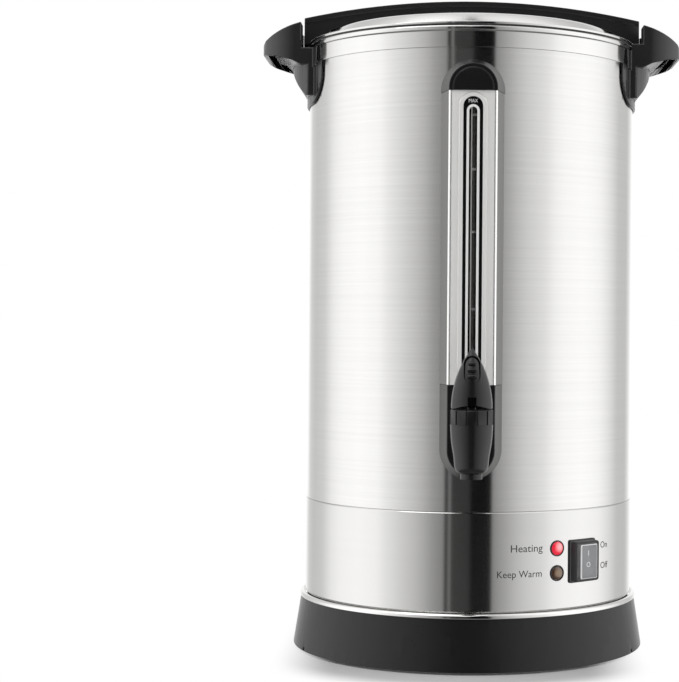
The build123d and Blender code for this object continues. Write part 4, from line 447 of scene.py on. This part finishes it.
# %% Clear finishes
def pad_plastic(name, bearing):
    """Clear soft plastic of a raised pad: dim slopes, pale edges painted as a highlight, misty
    front.
    """
    pad = Finish(name)
    cloud = pad.noise(60.0, 3.0)
    turn = radians(bearing)
    out = pad.axis("X") * sin(turn) - pad.axis("Y") * cos(turn) - BAND * MM
    front = pad.steps(out, 9.05 * MM, 9.18 * MM)
    # the edges' pale tone is a painted highlight
    edge = pad.steps(out, 8.3 * MM, 8.6 * MM) * (1.0 - front)
    tone = pad.blend(front, tint(0.11, 0.11, 0.115), tint(0.40, 0.41, 0.42))
    return pad.done(Base_Color=pad.blend(edge, tone, tint(0.86, 0.86, 0.86)),
                    Roughness=0.18 + 0.10 * (cloud - 0.5),
                    Alpha=0.42 + 0.08 * front + 0.50 * edge + 0.10 * (cloud - 0.5))


def striped_glass(name):
    """Gauge glass; a white line left of its middle is a painted highlight, and a grey band right of
    its middle is paler than the rest.
    """
    glass = Finish(name)
    cloud = glass.noise(60.0, 3.0)
    across = glass.axis("X")
    # the white line is a painted highlight
    line = (across > -1.45 * MM) * (across < -0.50 * MM)
    band = (across > -0.35 * MM) * (across < 2.0 * MM)
    tone = glass.blend(band, tint(0.020, 0.018, 0.017), tint(0.085, 0.080, 0.076))
    return glass.done(Base_Color=glass.blend(line, tone, tint(0.72, 0.72, 0.70)),
                      Roughness=0.05 + 0.08 * (cloud - 0.5), Specular_IOR_Level=0.6,
                      Alpha=0.70 + 0.28 * line + 0.10 * (cloud - 0.5))


soft_cover = pad_plastic("soft_cover", SWITCH_BEARING)
tube_glass = striped_glass("tube_glass")
print("clear finishes: 2")

# %% [markdown]
# ## Lamp lenses
# Each lens is a tinted dome over a small glow lamp. The lit one glows, deep red towards its rim;
# its palest spot, up and to the right of its middle, is a painted highlight. The unlit one shows
# its brown tint, paler in its middle, with a faint painted glow.


# %% Lens finishes
def wall_spot(bearing, height, out=0.0, aside=0.0):
    """A point on the band in metres: out from the steel, aside to the right."""
    turn = radians(bearing)
    return Vector(((BAND + out) * sin(turn) + aside * cos(turn),
                   -(BAND + out) * cos(turn) + aside * sin(turn), height)) * MM


def lens_finish(name, rim, heart, glow, spot, glow_strength):
    lens = Finish(name)
    grain = lens.noise(700.0, 2.0)
    # the lens is palest near spot: on the lit lens that pale spot is a painted highlight
    near = lens.node("ShaderNodeVectorMath", {"operation": "DISTANCE"}, {0: lens.place, 1: spot},
                     out="Value")
    share = lens.steps(near, 4.6 * MM, 0.8 * MM) * (0.88 + 0.24 * grain)
    return lens.done(Base_Color=lens.blend(share, tint(*rim), tint(*heart)),
                     Roughness=0.12 + 0.08 * grain, Coat_Weight=0.7, Coat_Roughness=0.03,
                     Emission_Color=lens.blend(share, tint(*rim), tint(*glow)),
                     Emission_Strength=glow_strength)


# the pale spot up and to the right of the heat lens's middle is a painted highlight
red_lens = lens_finish("red_lens", (0.55, 0.010, 0.030), (0.80, 0.10, 0.12), (1.0, 0.42, 0.42),
                       wall_spot(LAMP_BEARING, HEAT_LAMP_HEIGHT + 1.2, 2.0, 1.3), 0.75)
# the unlit amber lens is paler in its middle and has a faint painted glow
amber_lens = lens_finish("amber_lens", (0.060, 0.024, 0.010), (0.22, 0.125, 0.055),
                         (0.22, 0.125, 0.055),
                         wall_spot(LAMP_BEARING, WARM_LAMP_HEIGHT + 0.2, 2.0, 0.3), 0.05)
print("lens finishes: 2")

# %% [markdown]
# ## Dressing the parts
# Most small parts already have the right shape in the frame, so they only get a finish. The list
# names each part once, inner ones as well, because the lid can be lifted off. Parts that get a
# better-looking piece further down are in it too.

# %% Finish for each part
wearing = [
    (band_steel, "base_band"),
    (plated_sheet, "base_plate element_straps support_brackets thermal_cutout thermostat"),
    (inner_steel,
     "base_screws basket_cover cap_screw coffee_basket handle_screws inlet_screws "
     "lever_pin lid_bar_screws lid_liner outlet_nut pump_foot pump_tube tap_spring"),
    (skirt_black, "base_skirt"),
    (tap_black, "gauge_cap tap_block tap_body tap_bonnet tap_lever"),
    (gauge_steel, "gauge_cover"),
    (tube_glass, "gauge_glass"),
    (matte_black, "gauge_manifold lamp_bezels lamp_nuts power_inlet switch_housing terminal_block"),
    (scale_black, "gauge_scale"),
    (seal_rubber, "gauge_seals lid_gasket outlet_seals"),
    (brass, "handle_inserts inlet_pins"),
    (handle_black, "handle_left handle_right lid_bar"),
    (red_lens, "heat_lamp"),
    (sheath_metal, "heating_element keep_warm_element"),
    (lid_steel, "lid_pan"),
    (foot_rubber, "rubber_feet"),
    (gasket_silicone, "screw_washers seat_cup"),
    (soft_cover, "switch_cover"),
    (switch_grey, "switch_rocker"),
    (tank_steel, "tank"),
    (collar_steel, "tank_collar"),
    (dark_steel, "tap_stem"),
    (trim_steel, "trim_ring"),
    (amber_lens, "warm_lamp"),
    (lead_sleeve, "wiring_leads"),
]
dressed = set()
for finish, parts in wearing:
    for part in parts.split():
        for slot in nodes[part].material_slots:
            slot.material = finish
        dressed.add(part)
print("bare parts:", sorted(set(nodes) - dressed))

# %% [markdown]
# ## Turned steel
# The tank, the collar and the lid are round sheet parts. Each starts as half of its section, drawn
# as one flat face. The vertex bevel rounds the section's corners the way a press rounds sheet, and
# spinning the outline about the urn's axis gives the piece.


# %% Helper that turns a section
def paint(piece, finish):
    """One finish all over a piece."""
    piece.data.materials.clear()
    piece.data.materials.append(finish)
    for face in piece.data.polygons:
        face.material_index = 0


def stand_for(piece, body, part):
    """The piece moves with a body and takes a part's place."""
    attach(piece, body)
    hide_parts(part)
    print(piece.name, "faces:", len(piece.data.polygons))


def spin(form, sides):
    """Turns what is drawn once round the urn's axis."""
    bmesh.ops.spin(form, geom=form.verts[:] + form.edges[:], cent=(0, 0, 0), axis=(0, 0, 1),
                   angle=2 * pi, steps=sides, use_merge=True)


def turned(name, section, finish, sides, sharp=35.0, seat=None):
    """A closed ring or dish. A section point is (radius, height, rounding); seat moves the axis."""
    form = bmesh.new()
    corners = [form.verts.new((point[0] * MM, 0.0, point[1] * MM)) for point in section]
    form.faces.new(corners)
    for corner, point in zip(corners, section):
        if len(point) > 2:
            bmesh.ops.bevel(form, geom=[corner], offset=point[2] * MM, offset_type="OFFSET",
                            segments=4, profile=0.5, affect="VERTICES", material=-1)
    bmesh.ops.delete(form, geom=form.faces[:], context="FACES_ONLY")
    on_axis = [e for e in form.edges if all(abs(v.co.x) < 1e-7 for v in e.verts)]
    bmesh.ops.delete(form, geom=on_axis, context="EDGES")
    spin(form, sides)
    bmesh.ops.remove_doubles(form, verts=form.verts[:], dist=1e-7)
    bmesh.ops.recalc_face_normals(form, faces=form.faces[:])
    if seat:
        form.transform(seat)
    piece = mesh_object(name, form, sharp)
    paint(piece, finish)
    return piece


SMOOTH_ROUND = 320  # sides of the large round parts
BODY = 125.0  # the tank's outer radius
SEAM = 113.6  # height of the joint between tank and band

tank_shell = turned("tank_shell", [
    (124.75, 105.6), (124.75, 113.3), (BODY, SEAM + 0.1), (BODY, 446.0), (124.2, 446.0),
    (124.2, 117.2, 2.0), (24.0, 117.2, 1.5), (24.0, 108.2, 1.5), (0.0, 108.2), (0.0, 107.4),
    (24.8, 107.4, 1.5), (24.8, 116.4, 1.5), (123.95, 116.4), (123.95, 105.6)],
    tank_steel, SMOOTH_ROUND, 20.0)
stand_for(tank_shell, "urn", "tank")

# %% Collar with its rolled bead
collar_shell = turned("collar_shell", [
    (127.4, 457.5, 1.5), (124.2, 457.5, 0.3), (124.2, 446.1), (125.1, 446.1), (125.1, 442.0, 0.1),
    (125.9, 442.0, 0.3), (125.9, 453.6, 0.5), (127.4, 453.7, 1.2)], collar_steel, SMOOTH_ROUND)
stand_for(collar_shell, "urn", "tank_collar")

# %% Pressed lid
lid_shell = turned("lid_shell", [
    (0.0, 469.5), (108.5, 469.5, 2.2), (114.6, 461.9, 1.6), (116.2, 459.3, 1.2),
    (125.4, 459.3, 0.5), (126.0, 460.3, 0.4), (127.0, 460.3, 0.7), (127.0, 458.5, 0.2),
    (115.0, 458.5, 1.2), (113.5, 461.3, 1.2), (107.9, 468.7, 1.8), (0.0, 468.7)],
    lid_steel, SMOOTH_ROUND)
stand_for(lid_shell, "lid", "lid_pan")

# %% [markdown]
# ## Base band
# The band carries the lamps, the switch and the power inlet, so its sheet has openings. It is
# turned as a bare skin, the faces under the switch and the inlet are taken out, and solidify then
# gives it the sheet's thickness, also round the openings. It is done in the mesh itself, so that
# the openings' edges count as sharp and don't tilt the shading of the tall faces beside them.


# %% Band with its openings
def bearing_of(point):
    """Angle from the front towards the right, in degrees."""
    return degrees(atan2(point.x, -point.y))


SHEET = 0.8
band_line = [(124.6, 41.6), (124.9, 42.5), (BAND, 43.3), (BAND, 63.0), (BAND, 66.0), (BAND, 86.0),
             (BAND, 89.9), (BAND, 112.6), (125.3, 113.0)]
# a window is (bearing, half its width in degrees, lower edge, upper edge)
windows = [(SWITCH_BEARING, 4.85, 62.9, 90.0), (180.0, 6.4, 65.9, 86.1)]
band_form = bmesh.new()
line = [band_form.verts.new((radius * MM, 0, height * MM)) for radius, height in band_line]
for low, high in zip(line, line[1:]):
    band_form.edges.new((low, high))
spin(band_form, 360)
bmesh.ops.recalc_face_normals(band_form, faces=band_form.faces[:])
for middle, half, low, high in windows:
    taken = [f for f in band_form.faces if low * MM <= f.calc_center_median().z <= high * MM
             and abs((bearing_of(f.calc_center_median()) - middle + 180) % 360 - 180) < half]
    bmesh.ops.delete(band_form, geom=taken, context="FACES")
    print("window at", middle, "took", len(taken), "faces")
bmesh.ops.solidify(band_form, geom=band_form.faces[:], thickness=SHEET * MM)
bmesh.ops.recalc_face_normals(band_form, faces=band_form.faces[:])
band_shell = mesh_object("band_shell", band_form)
paint(band_shell, band_steel)
stand_for(band_shell, "urn", "base_band")

# %% [markdown]
# ## Trim ring
# A bright pressed ring closes the joint between the black skirt and the band. It is turned like the
# other round parts, with a full round on its outer edge that catches one thin highlight.

# %% Trim ring
ring_shell = turned("ring_shell", [
    (118.5, 38.5), (129.4, 38.5, 0.3), (129.75, 40.0, 0.9), (128.4, 42.0, 0.8), (126.5, 42.0, 0.3),
    (126.5, 39.5), (118.5, 39.5)], trim_steel, SMOOTH_ROUND)
stand_for(ring_shell, "urn", "trim_ring")

# %% [markdown]
# ## Rounded mouldings
# Moulded plastic has no sharp edges: a mould can't be cut that way, and hands wouldn't like it.
# Each moulding is a copy of its part in the frame. Its flat facets are merged, and a bevel
# modifier rolls every edge that is sharper than a given angle.


# %% Helper that rounds a copy of a part
FLAT_BELOW = 0.4  # facets that meet at less than this many degrees are one face
SHARP_ABOVE = 28.0  # edges that turn by more than this many degrees are rolled


def copy_of(part):
    """The part's mesh as a bmesh, with its doubled corners merged."""
    form = bmesh.new()
    form.from_mesh(nodes[part].data)
    form.transform(nodes[part].matrix_world)
    bmesh.ops.remove_doubles(form, verts=form.verts[:], dist=1e-6)
    return form


def rounded(part, width, finish, body, slot, carve=None):
    """Stands for a part with its edges rolled over a width in mm; carve may cut the copy first."""
    form = copy_of(part)
    bmesh.ops.dissolve_limit(form, angle_limit=radians(FLAT_BELOW), verts=form.verts[:],
                             edges=form.edges[:])
    bmesh.ops.recalc_face_normals(form, faces=form.faces[:])
    if carve:
        carve(form)
    piece = mesh_object(part + "_moulding", form, SHARP_ABOVE)
    paint(piece, finish)
    edge = piece.modifiers.new("rolled_edges", "BEVEL")
    edge.limit_method, edge.angle_limit = "ANGLE", radians(SHARP_ABOVE)
    edge.width, edge.segments = width * MM, 3
    edge.harden_normals = True
    edge.use_clamp_overlap = False
    stand_for(piece, body, part)


for moulding in (
        ("handle_left", 0.9, handle_black, "urn", "black_plastic"),
        ("handle_right", 0.9, handle_black, "urn", "black_plastic"),
        ("lid_bar", 0.6, handle_black, "lid", "black_plastic"),
        ("gauge_cap", 0.6, tap_black, "urn", "black_plastic"),
        ("tap_block", 0.7, tap_black, "urn", "black_plastic"),
        ("base_skirt", 0.5, skirt_black, "urn", "black_plastic"),
        ("switch_housing", 0.4, matte_black, "urn", "matte_black_plastic"),
        ("power_inlet", 0.4, matte_black, "urn", "matte_black_plastic"),
        ("switch_rocker", 0.35, switch_grey, "switch_rocker", "grey_plastic")):
    rounded(*moulding)

# %% [markdown]
# ## Bonnet of the tap
# The bonnet is screwed on by hand. It has twelve flats, and a groove runs up each corner between
# two of them. In the copy of the bonnet each upright corner edge is cut into a narrow strip, and
# the strip's middle line is pressed in.

# %% Bonnet with grooved corners
TAP_AXIS_Y = -185.0 * MM
FLATS = 12
GROOVE_HALF_WIDTH, GROOVE_DEPTH = 0.75 * MM, 0.9 * MM


def corner_grooves(form):
    """Grooves in the upright corner edges, which stand further out than anything else."""
    def polar(point):
        return (sqrt(point.x ** 2 + (point.y - TAP_AXIS_Y) ** 2),
                degrees(atan2(point.x, TAP_AXIS_Y - point.y)))

    step = 360.0 / FLATS
    corners = [e for e in form.edges if all(polar(v.co)[0] > 14.6 * MM for v in e.verts)
               and abs(e.verts[0].co.z - e.verts[1].co.z) > 5.0 * MM]
    bmesh.ops.bevel(form, geom=corners, offset=GROOVE_HALF_WIDTH, offset_type="OFFSET", segments=2,
                    profile=0.5, affect="EDGES", material=-1)
    for vert in form.verts:
        radius, turn = polar(vert.co)
        if radius > 14.3 * MM and abs(turn % step - step / 2) < 0.8:
            vert.co.x -= GROOVE_DEPTH * sin(radians(turn))
            vert.co.y += GROOVE_DEPTH * cos(radians(turn))
    print("grooves:", len(corners))


rounded("tap_bonnet", 0.15, tap_black, "urn", "black_plastic", carve=corner_grooves)

# %% [markdown]
# ## Lamps
# A lamp is a round lens in a thin black ring that sits almost flush on the band. Lens and ring are
# turned round their own axis and then seated on the band's wall at the lamp's bearing.


# %% Lenses and their rings
def wall_seat(bearing, height):
    """Matrix that takes an axis along +Z and stands it out from the band."""
    turn = radians(bearing)
    outward = Vector((sin(turn), -cos(turn), 0.0))
    across = Vector((cos(turn), sin(turn), 0.0))
    seat = Matrix((across, Vector((0, 0, 1)), outward)).transposed().to_4x4()
    seat.translation = wall_spot(bearing, height)
    return seat


LENS = [(0.0, 1.9), (2.4, 1.8, 0.6), (4.0, 1.15, 0.6), (4.85, 0.3, 0.3), (4.85, -0.8), (4.1, -0.8),
        (4.1, -7.0), (0.0, -7.0)]
RING = [(4.95, 0.75, 0.2), (5.75, 0.75, 0.35), (5.75, -0.75), (4.95, -0.75)]
for name, height, finish, part, slot in (
        ("heat_lens", HEAT_LAMP_HEIGHT, red_lens, "heat_lamp", "red_lens"),
        ("warm_lens", WARM_LAMP_HEIGHT, amber_lens, "warm_lamp", "amber_lens")):
    seat = wall_seat(LAMP_BEARING, height)
    stand_for(turned(name, LENS, finish, 48, 40.0, seat), "urn", part)
    stand_for(turned(name + "_ring", RING, matte_black, 48, 40.0, seat), "urn", "lamp_bezels")

# %% [markdown]
# ## Touching a part
# A bump has to sit on the real surface of its part. A search tree of the part's faces tells where
# a ray first meets that surface, and how it slopes there.


# %% Helper that finds a part's surface
def touch(part, start, direction):
    """Point and outward normal where a ray first meets a part, in metres."""
    skin = copy_of(part)
    tree = BVHTree.FromBMesh(skin)
    skin.free()
    return tree.ray_cast(start, direction)[:2]


print("touch:", touch("tank", Vector((0.0, 0.3, 0.3)), Vector((0, -1, 0)))[0])

# %% [markdown]
# ## Spring of the tap
# The coil spring presses the seat cup down. When the lever lifts the stem, the coil gets shorter
# against the bonnet's underside. The copy of it here gets a mesh of its own.

# %% Copy of the coil
coil_form = copy_of("tap_spring")
bmesh.ops.recalc_face_normals(coil_form, faces=coil_form.faces[:])
spring_coil = mesh_object("spring_coil", coil_form, 60.0)
paint(spring_coil, inner_steel)
stand_for(spring_coil, "urn", "tap_spring")
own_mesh(spring_coil)

# %% [markdown]
# ## Splash cover of the switch
# A frame of black plastic snaps over the rocker switch and holds a raised pad of clear soft
# plastic, so that wet fingers can press the rocker. The pad's edges are painted pale: a painted
# highlight for the light that clear plastic gathers at its edges. Frame and pad are rings of
# rounded oblongs, joined by strips of faces. The band would mirror the frame's side and so close
# the narrow gap to the lamps. The switch is therefore kept out of reflections and lets shadow rays
# pass.


# %% Frame and pad
def bridge(form, first, second):
    """A strip of faces between two closed rows with equally many corners."""
    for k in range(len(first)):
        after = (k + 1) % len(first)
        form.faces.new((first[k], first[after], second[after], second[k]))


def oblong_stack(name, rings, seat, finish, solid):
    """Skin through rounded oblongs, solid or a frame. A ring is (width, height, corner, out)."""
    steps = 6
    form = bmesh.new()
    loops = []
    for width, tall, corner, out in rings:
        loop = []
        for quarter, (sx, sy) in enumerate(((1, 1), (-1, 1), (-1, -1), (1, -1))):
            for k in range(steps + 1):
                turn = pi / 2 * (quarter + k / steps)
                point = Vector((sx * (width / 2 - corner) + corner * cos(turn),
                                sy * (tall / 2 - corner) + corner * sin(turn), out))
                loop.append(form.verts.new(point * MM))
        loops.append(loop)
    for low, high in zip(loops, loops[1:]):
        bridge(form, low, high)
    if solid:
        form.faces.new(loops[-1])
        form.faces.new(loops[0][::-1])
    else:
        bridge(form, loops[-1], loops[0])
    form.transform(seat)
    bmesh.ops.recalc_face_normals(form, faces=form.faces[:])
    piece = mesh_object(name, form, 40.0)
    paint(piece, finish)
    return piece


switch_seat = wall_seat(SWITCH_BEARING, SWITCH_HEIGHT)
switch_frame = oblong_stack("switch_frame", [
    (23.2, 28.8, 2.0, 2.0), (23.2, 28.8, 2.0, 6.5), (22.9, 28.5, 1.9, 7.0), (22.3, 27.9, 1.6, 7.2),
    (20.6, 26.2, 1.2, 7.2), (20.2, 25.8, 1.0, 6.9), (20.2, 25.8, 1.0, 2.0)],
    switch_seat, matte_black, False)
stand_for(switch_frame, "urn", "switch_cover")
switch_pad = oblong_stack("switch_pad", [
    (19.0, 24.6, 0.8, 6.0), (20.1, 25.7, 1.0, 6.0), (20.1, 25.7, 1.0, 7.0), (19.5, 25.2, 1.2, 7.3),
    (16.0, 24.4, 1.2, 8.7), (15.2, 23.8, 1.0, 9.0), (14.4, 23.2, 0.8, 9.2)],
    switch_seat, soft_cover, True)
stand_for(switch_pad, "urn", "switch_cover")
for piece in ("switch_frame", "switch_pad", "switch_housing_moulding", "switch_rocker_moulding"):
    bpy.data.objects[piece].visible_glossy = False
    bpy.data.objects[piece].visible_shadow = False

# %% [markdown]
# ## Grip bumps on the lever
# Three flat ovals stand in the lever's shallow finger rest, so that a wet thumb doesn't slide off.
# Each is a ball pressed flat and seated on the lever's own surface, which a ray finds.

# %% Ovals on the lever
BUMP_HALF_HEIGHT, BUMP_HALF_DEPTH, BUMP_SUNK = 1.5 * MM, 0.75 * MM, 0.35 * MM
BACKWARD = Vector((0, 1, 0))
lever_form = bmesh.new()
for height, width in ((220.1, 6.0), (215.7, 7.4), (211.3, 7.4)):
    point, normal = touch("tap_lever", Vector((1.0 * MM, -0.3, height * MM)), BACKWARD)
    normal = Vector((0.0, normal.y, normal.z)).normalized()
    ball = bmesh.ops.create_uvsphere(lever_form, u_segments=32, v_segments=16, radius=1.0)
    up = Vector((0, 0, 1)) - normal * normal.z
    seat = Matrix((Vector((1, 0, 0)), normal, up.normalized())).transposed().to_4x4()
    seat.translation = Vector((0.0, point.y, point.z)) - normal * BUMP_SUNK
    size = Matrix.Diagonal((width / 2 * MM, BUMP_HALF_DEPTH, BUMP_HALF_HEIGHT, 1.0))
    bmesh.ops.transform(lever_form, matrix=seat @ size, verts=ball["verts"])
bmesh.ops.recalc_face_normals(lever_form, faces=lever_form.faces[:])
lever_bumps = mesh_object("lever_bumps", lever_form, 60.0)
paint(lever_bumps, tap_black)
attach(lever_bumps, "tap_lever")
print("bumps faces:", len(lever_bumps.data.polygons))

# %% [markdown]
# ## Grip ribs
# Nine small ribs run under the middle of the carrying bar, so that wet fingers don't slip. They
# are moulded with the bar; here each is a small block with rolled edges, sunk into the bar.

# %% Ribs under the bar
RIB_PITCH = 4.3
RIB_WIDE, RIB_LONG, RIB_TALL = 1.9, 26.8, 4.0
RIB_MIDDLE = 485.3
ribs_form = bmesh.new()
for place in range(-4, 5):
    block = bmesh.ops.create_cube(ribs_form, size=1.0)
    for vert in block["verts"]:
        x, y, z = vert.co
        vert.co = Vector((place * RIB_PITCH + x * RIB_WIDE, y * RIB_LONG,
                          RIB_MIDDLE + z * RIB_TALL)) * MM
bmesh.ops.bevel(ribs_form, geom=ribs_form.edges[:], offset=0.35 * MM, segments=2, profile=0.5,
                affect="EDGES", material=-1)
bar_ribs = mesh_object("bar_ribs", ribs_form)
paint(bar_ribs, handle_black)
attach(bar_ribs, "lid")
print("ribs faces:", len(bar_ribs.data.polygons))

# %% [markdown]
# ## Gauge
# Behind the steel channel's window stands a black strip with a slot, and the glass tube shows in
# the slot. A pale rim is printed round the slot, and the tube carries the cup numbers. The rim is a
# flat ring with round ends, and the numbers are text turned into thin meshes.


# %% Rim round the slot
RIM_MIDDLE = 306.3
RIM_FRONT, RIM_THICK = -142.35, 0.25


def obround(form, width, tall):
    """Corners of an upright slot with round ends, seen from the front."""
    steps = 16
    half = width / 2
    straight = tall / 2 - half
    turns = [pi * k / steps for k in range(steps + 1)]
    ends = [(half * cos(t), RIM_MIDDLE + straight + half * sin(t)) for t in turns]
    ends += [(-half * cos(t), RIM_MIDDLE - straight - half * sin(t)) for t in turns]
    return [form.verts.new((x * MM, RIM_FRONT * MM, z * MM)) for x, z in ends]


scale_pale = moulded("scale_pale", (0.78, 0.78, 0.77), 0.35, 500.0, 0.01, 0.04)
rim_form = bmesh.new()
bridge(rim_form, obround(rim_form, 9.1, 186.2), obround(rim_form, 5.6, 182.7))
raised = bmesh.ops.extrude_face_region(rim_form, geom=rim_form.faces[:])
for vert in [v for v in raised["geom"] if isinstance(v, bmesh.types.BMVert)]:
    vert.co.y += RIM_THICK * MM
bmesh.ops.recalc_face_normals(rim_form, faces=rim_form.faces[:])
scale_rim = mesh_object("scale_rim", rim_form)
paint(scale_rim, scale_pale)
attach(scale_rim, "urn")
print("rim faces:", len(scale_rim.data.polygons))


# %% Words and numbers as thin meshes
def lettering(name, words, tall, width, finish, place):
    """Text made mesh; place(x, z) puts a point of the text, in mm, on the printed surface."""
    curve = bpy.data.curves.new(name + "_text", "FONT")
    curve.body, curve.size = words, 1.0
    curve.align_x, curve.align_y = "CENTER", "CENTER"
    curve.resolution_u = 6
    holder = link(bpy.data.objects.new(name + "_text", curve))
    bpy.context.view_layer.update()
    drawn = holder.evaluated_get(bpy.context.evaluated_depsgraph_get())
    flat = bpy.data.meshes.new_from_object(drawn)
    bpy.data.objects.remove(holder)
    xs = [v.co.x for v in flat.vertices]
    ys = [v.co.y for v in flat.vertices]
    middle_x, middle_y = (min(xs) + max(xs)) / 2, (min(ys) + max(ys)) / 2
    stretch_x, stretch_y = width / (max(xs) - min(xs)), tall / (max(ys) - min(ys))
    form = bmesh.new()
    form.from_mesh(flat)
    bpy.data.meshes.remove(flat)
    bmesh.ops.remove_doubles(form, verts=form.verts[:], dist=1e-5)
    long_edges = [e for e in form.edges if e.calc_length() * stretch_x > 2.0]
    bmesh.ops.subdivide_edges(form, edges=long_edges, cuts=1)
    bmesh.ops.triangulate(form, faces=form.faces[:])
    for vert in form.verts:
        x, y = (vert.co.x - middle_x) * stretch_x, (vert.co.y - middle_y) * stretch_y
        vert.co = Vector(place(x, y)) * MM
    bmesh.ops.recalc_face_normals(form, faces=form.faces[:])
    piece = mesh_object(name, form)
    paint(piece, finish)
    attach(piece, "urn")


SCALE_FRONT = -142.2
TUBE_Y, TUBE_RADIUS = -134.0, 4.08
NUMBER_ASIDE = 0.9


def on_scale(height):
    """Place for a word on the black strip."""
    return lambda x, z: (x, SCALE_FRONT, height + z)


def on_tube(height):
    """Place for a number that is laid round the glass tube, a little right of its middle."""
    def place(x, z):
        x += NUMBER_ASIDE
        return (x, TUBE_Y - sqrt(TUBE_RADIUS ** 2 - x ** 2), height + z)
    return place


lettering("gauge_max", "MAX", 2.5, 6.4, scale_pale, on_scale(401.9))
for cups, height in (("100", 392.5), ("80", 354.5), ("60", 310.7), ("40", 256.8)):
    lettering("gauge_" + cups, cups, 1.7, 1.25 * len(cups), scale_pale, on_tube(height))
print("gauge marks: 5")

# %% [markdown]
# ## Words on the band
# Plain words beside the lamps and the switch are printed on the band. The text is laid round the
# band's cylinder, so it follows the steel from any side.


# %% Printed words
def on_band(bearing, height):
    """Place for text that is centred at a bearing and height on the band."""
    radius = BAND + 0.06

    def place(x, z):
        turn = radians(bearing) + x / radius
        return (radius * sin(turn), -radius * cos(turn), height + z)
    return place


print_black = moulded("print_black", (0.030, 0.030, 0.030), 0.5, 800.0, 0.01)
lettering("word_heating", "Heating", 6.8, 24.3, print_black, on_band(19.0, 86.6))
lettering("word_keep_warm", "Keep Warm", 6.4, 33.6, print_black, on_band(16.6, 68.5))
lettering("word_on", "On", 4.6, 8.6, print_black, on_band(52.0, 85.6))
lettering("word_off", "Off", 4.6, 9.4, print_black, on_band(52.3, 70.6))
print("words: 4")


# %% Marks on the switch pad
PAD_PRINT = 9.27  # how far the marks stand out from the band
MARK_ASIDE = -1.2


def on_pad(height):
    """Place for a mark printed on the pad's flat front."""
    return lambda x, z: wall_spot(SWITCH_BEARING, height + z, PAD_PRINT, MARK_ASIDE + x) / MM


lettering("pad_off", "O", 3.6, 3.6, scale_pale, on_pad(74.4))
lettering("pad_on", "I", 3.6, 0.55, scale_pale, on_pad(82.6))
print("pad marks: 2")
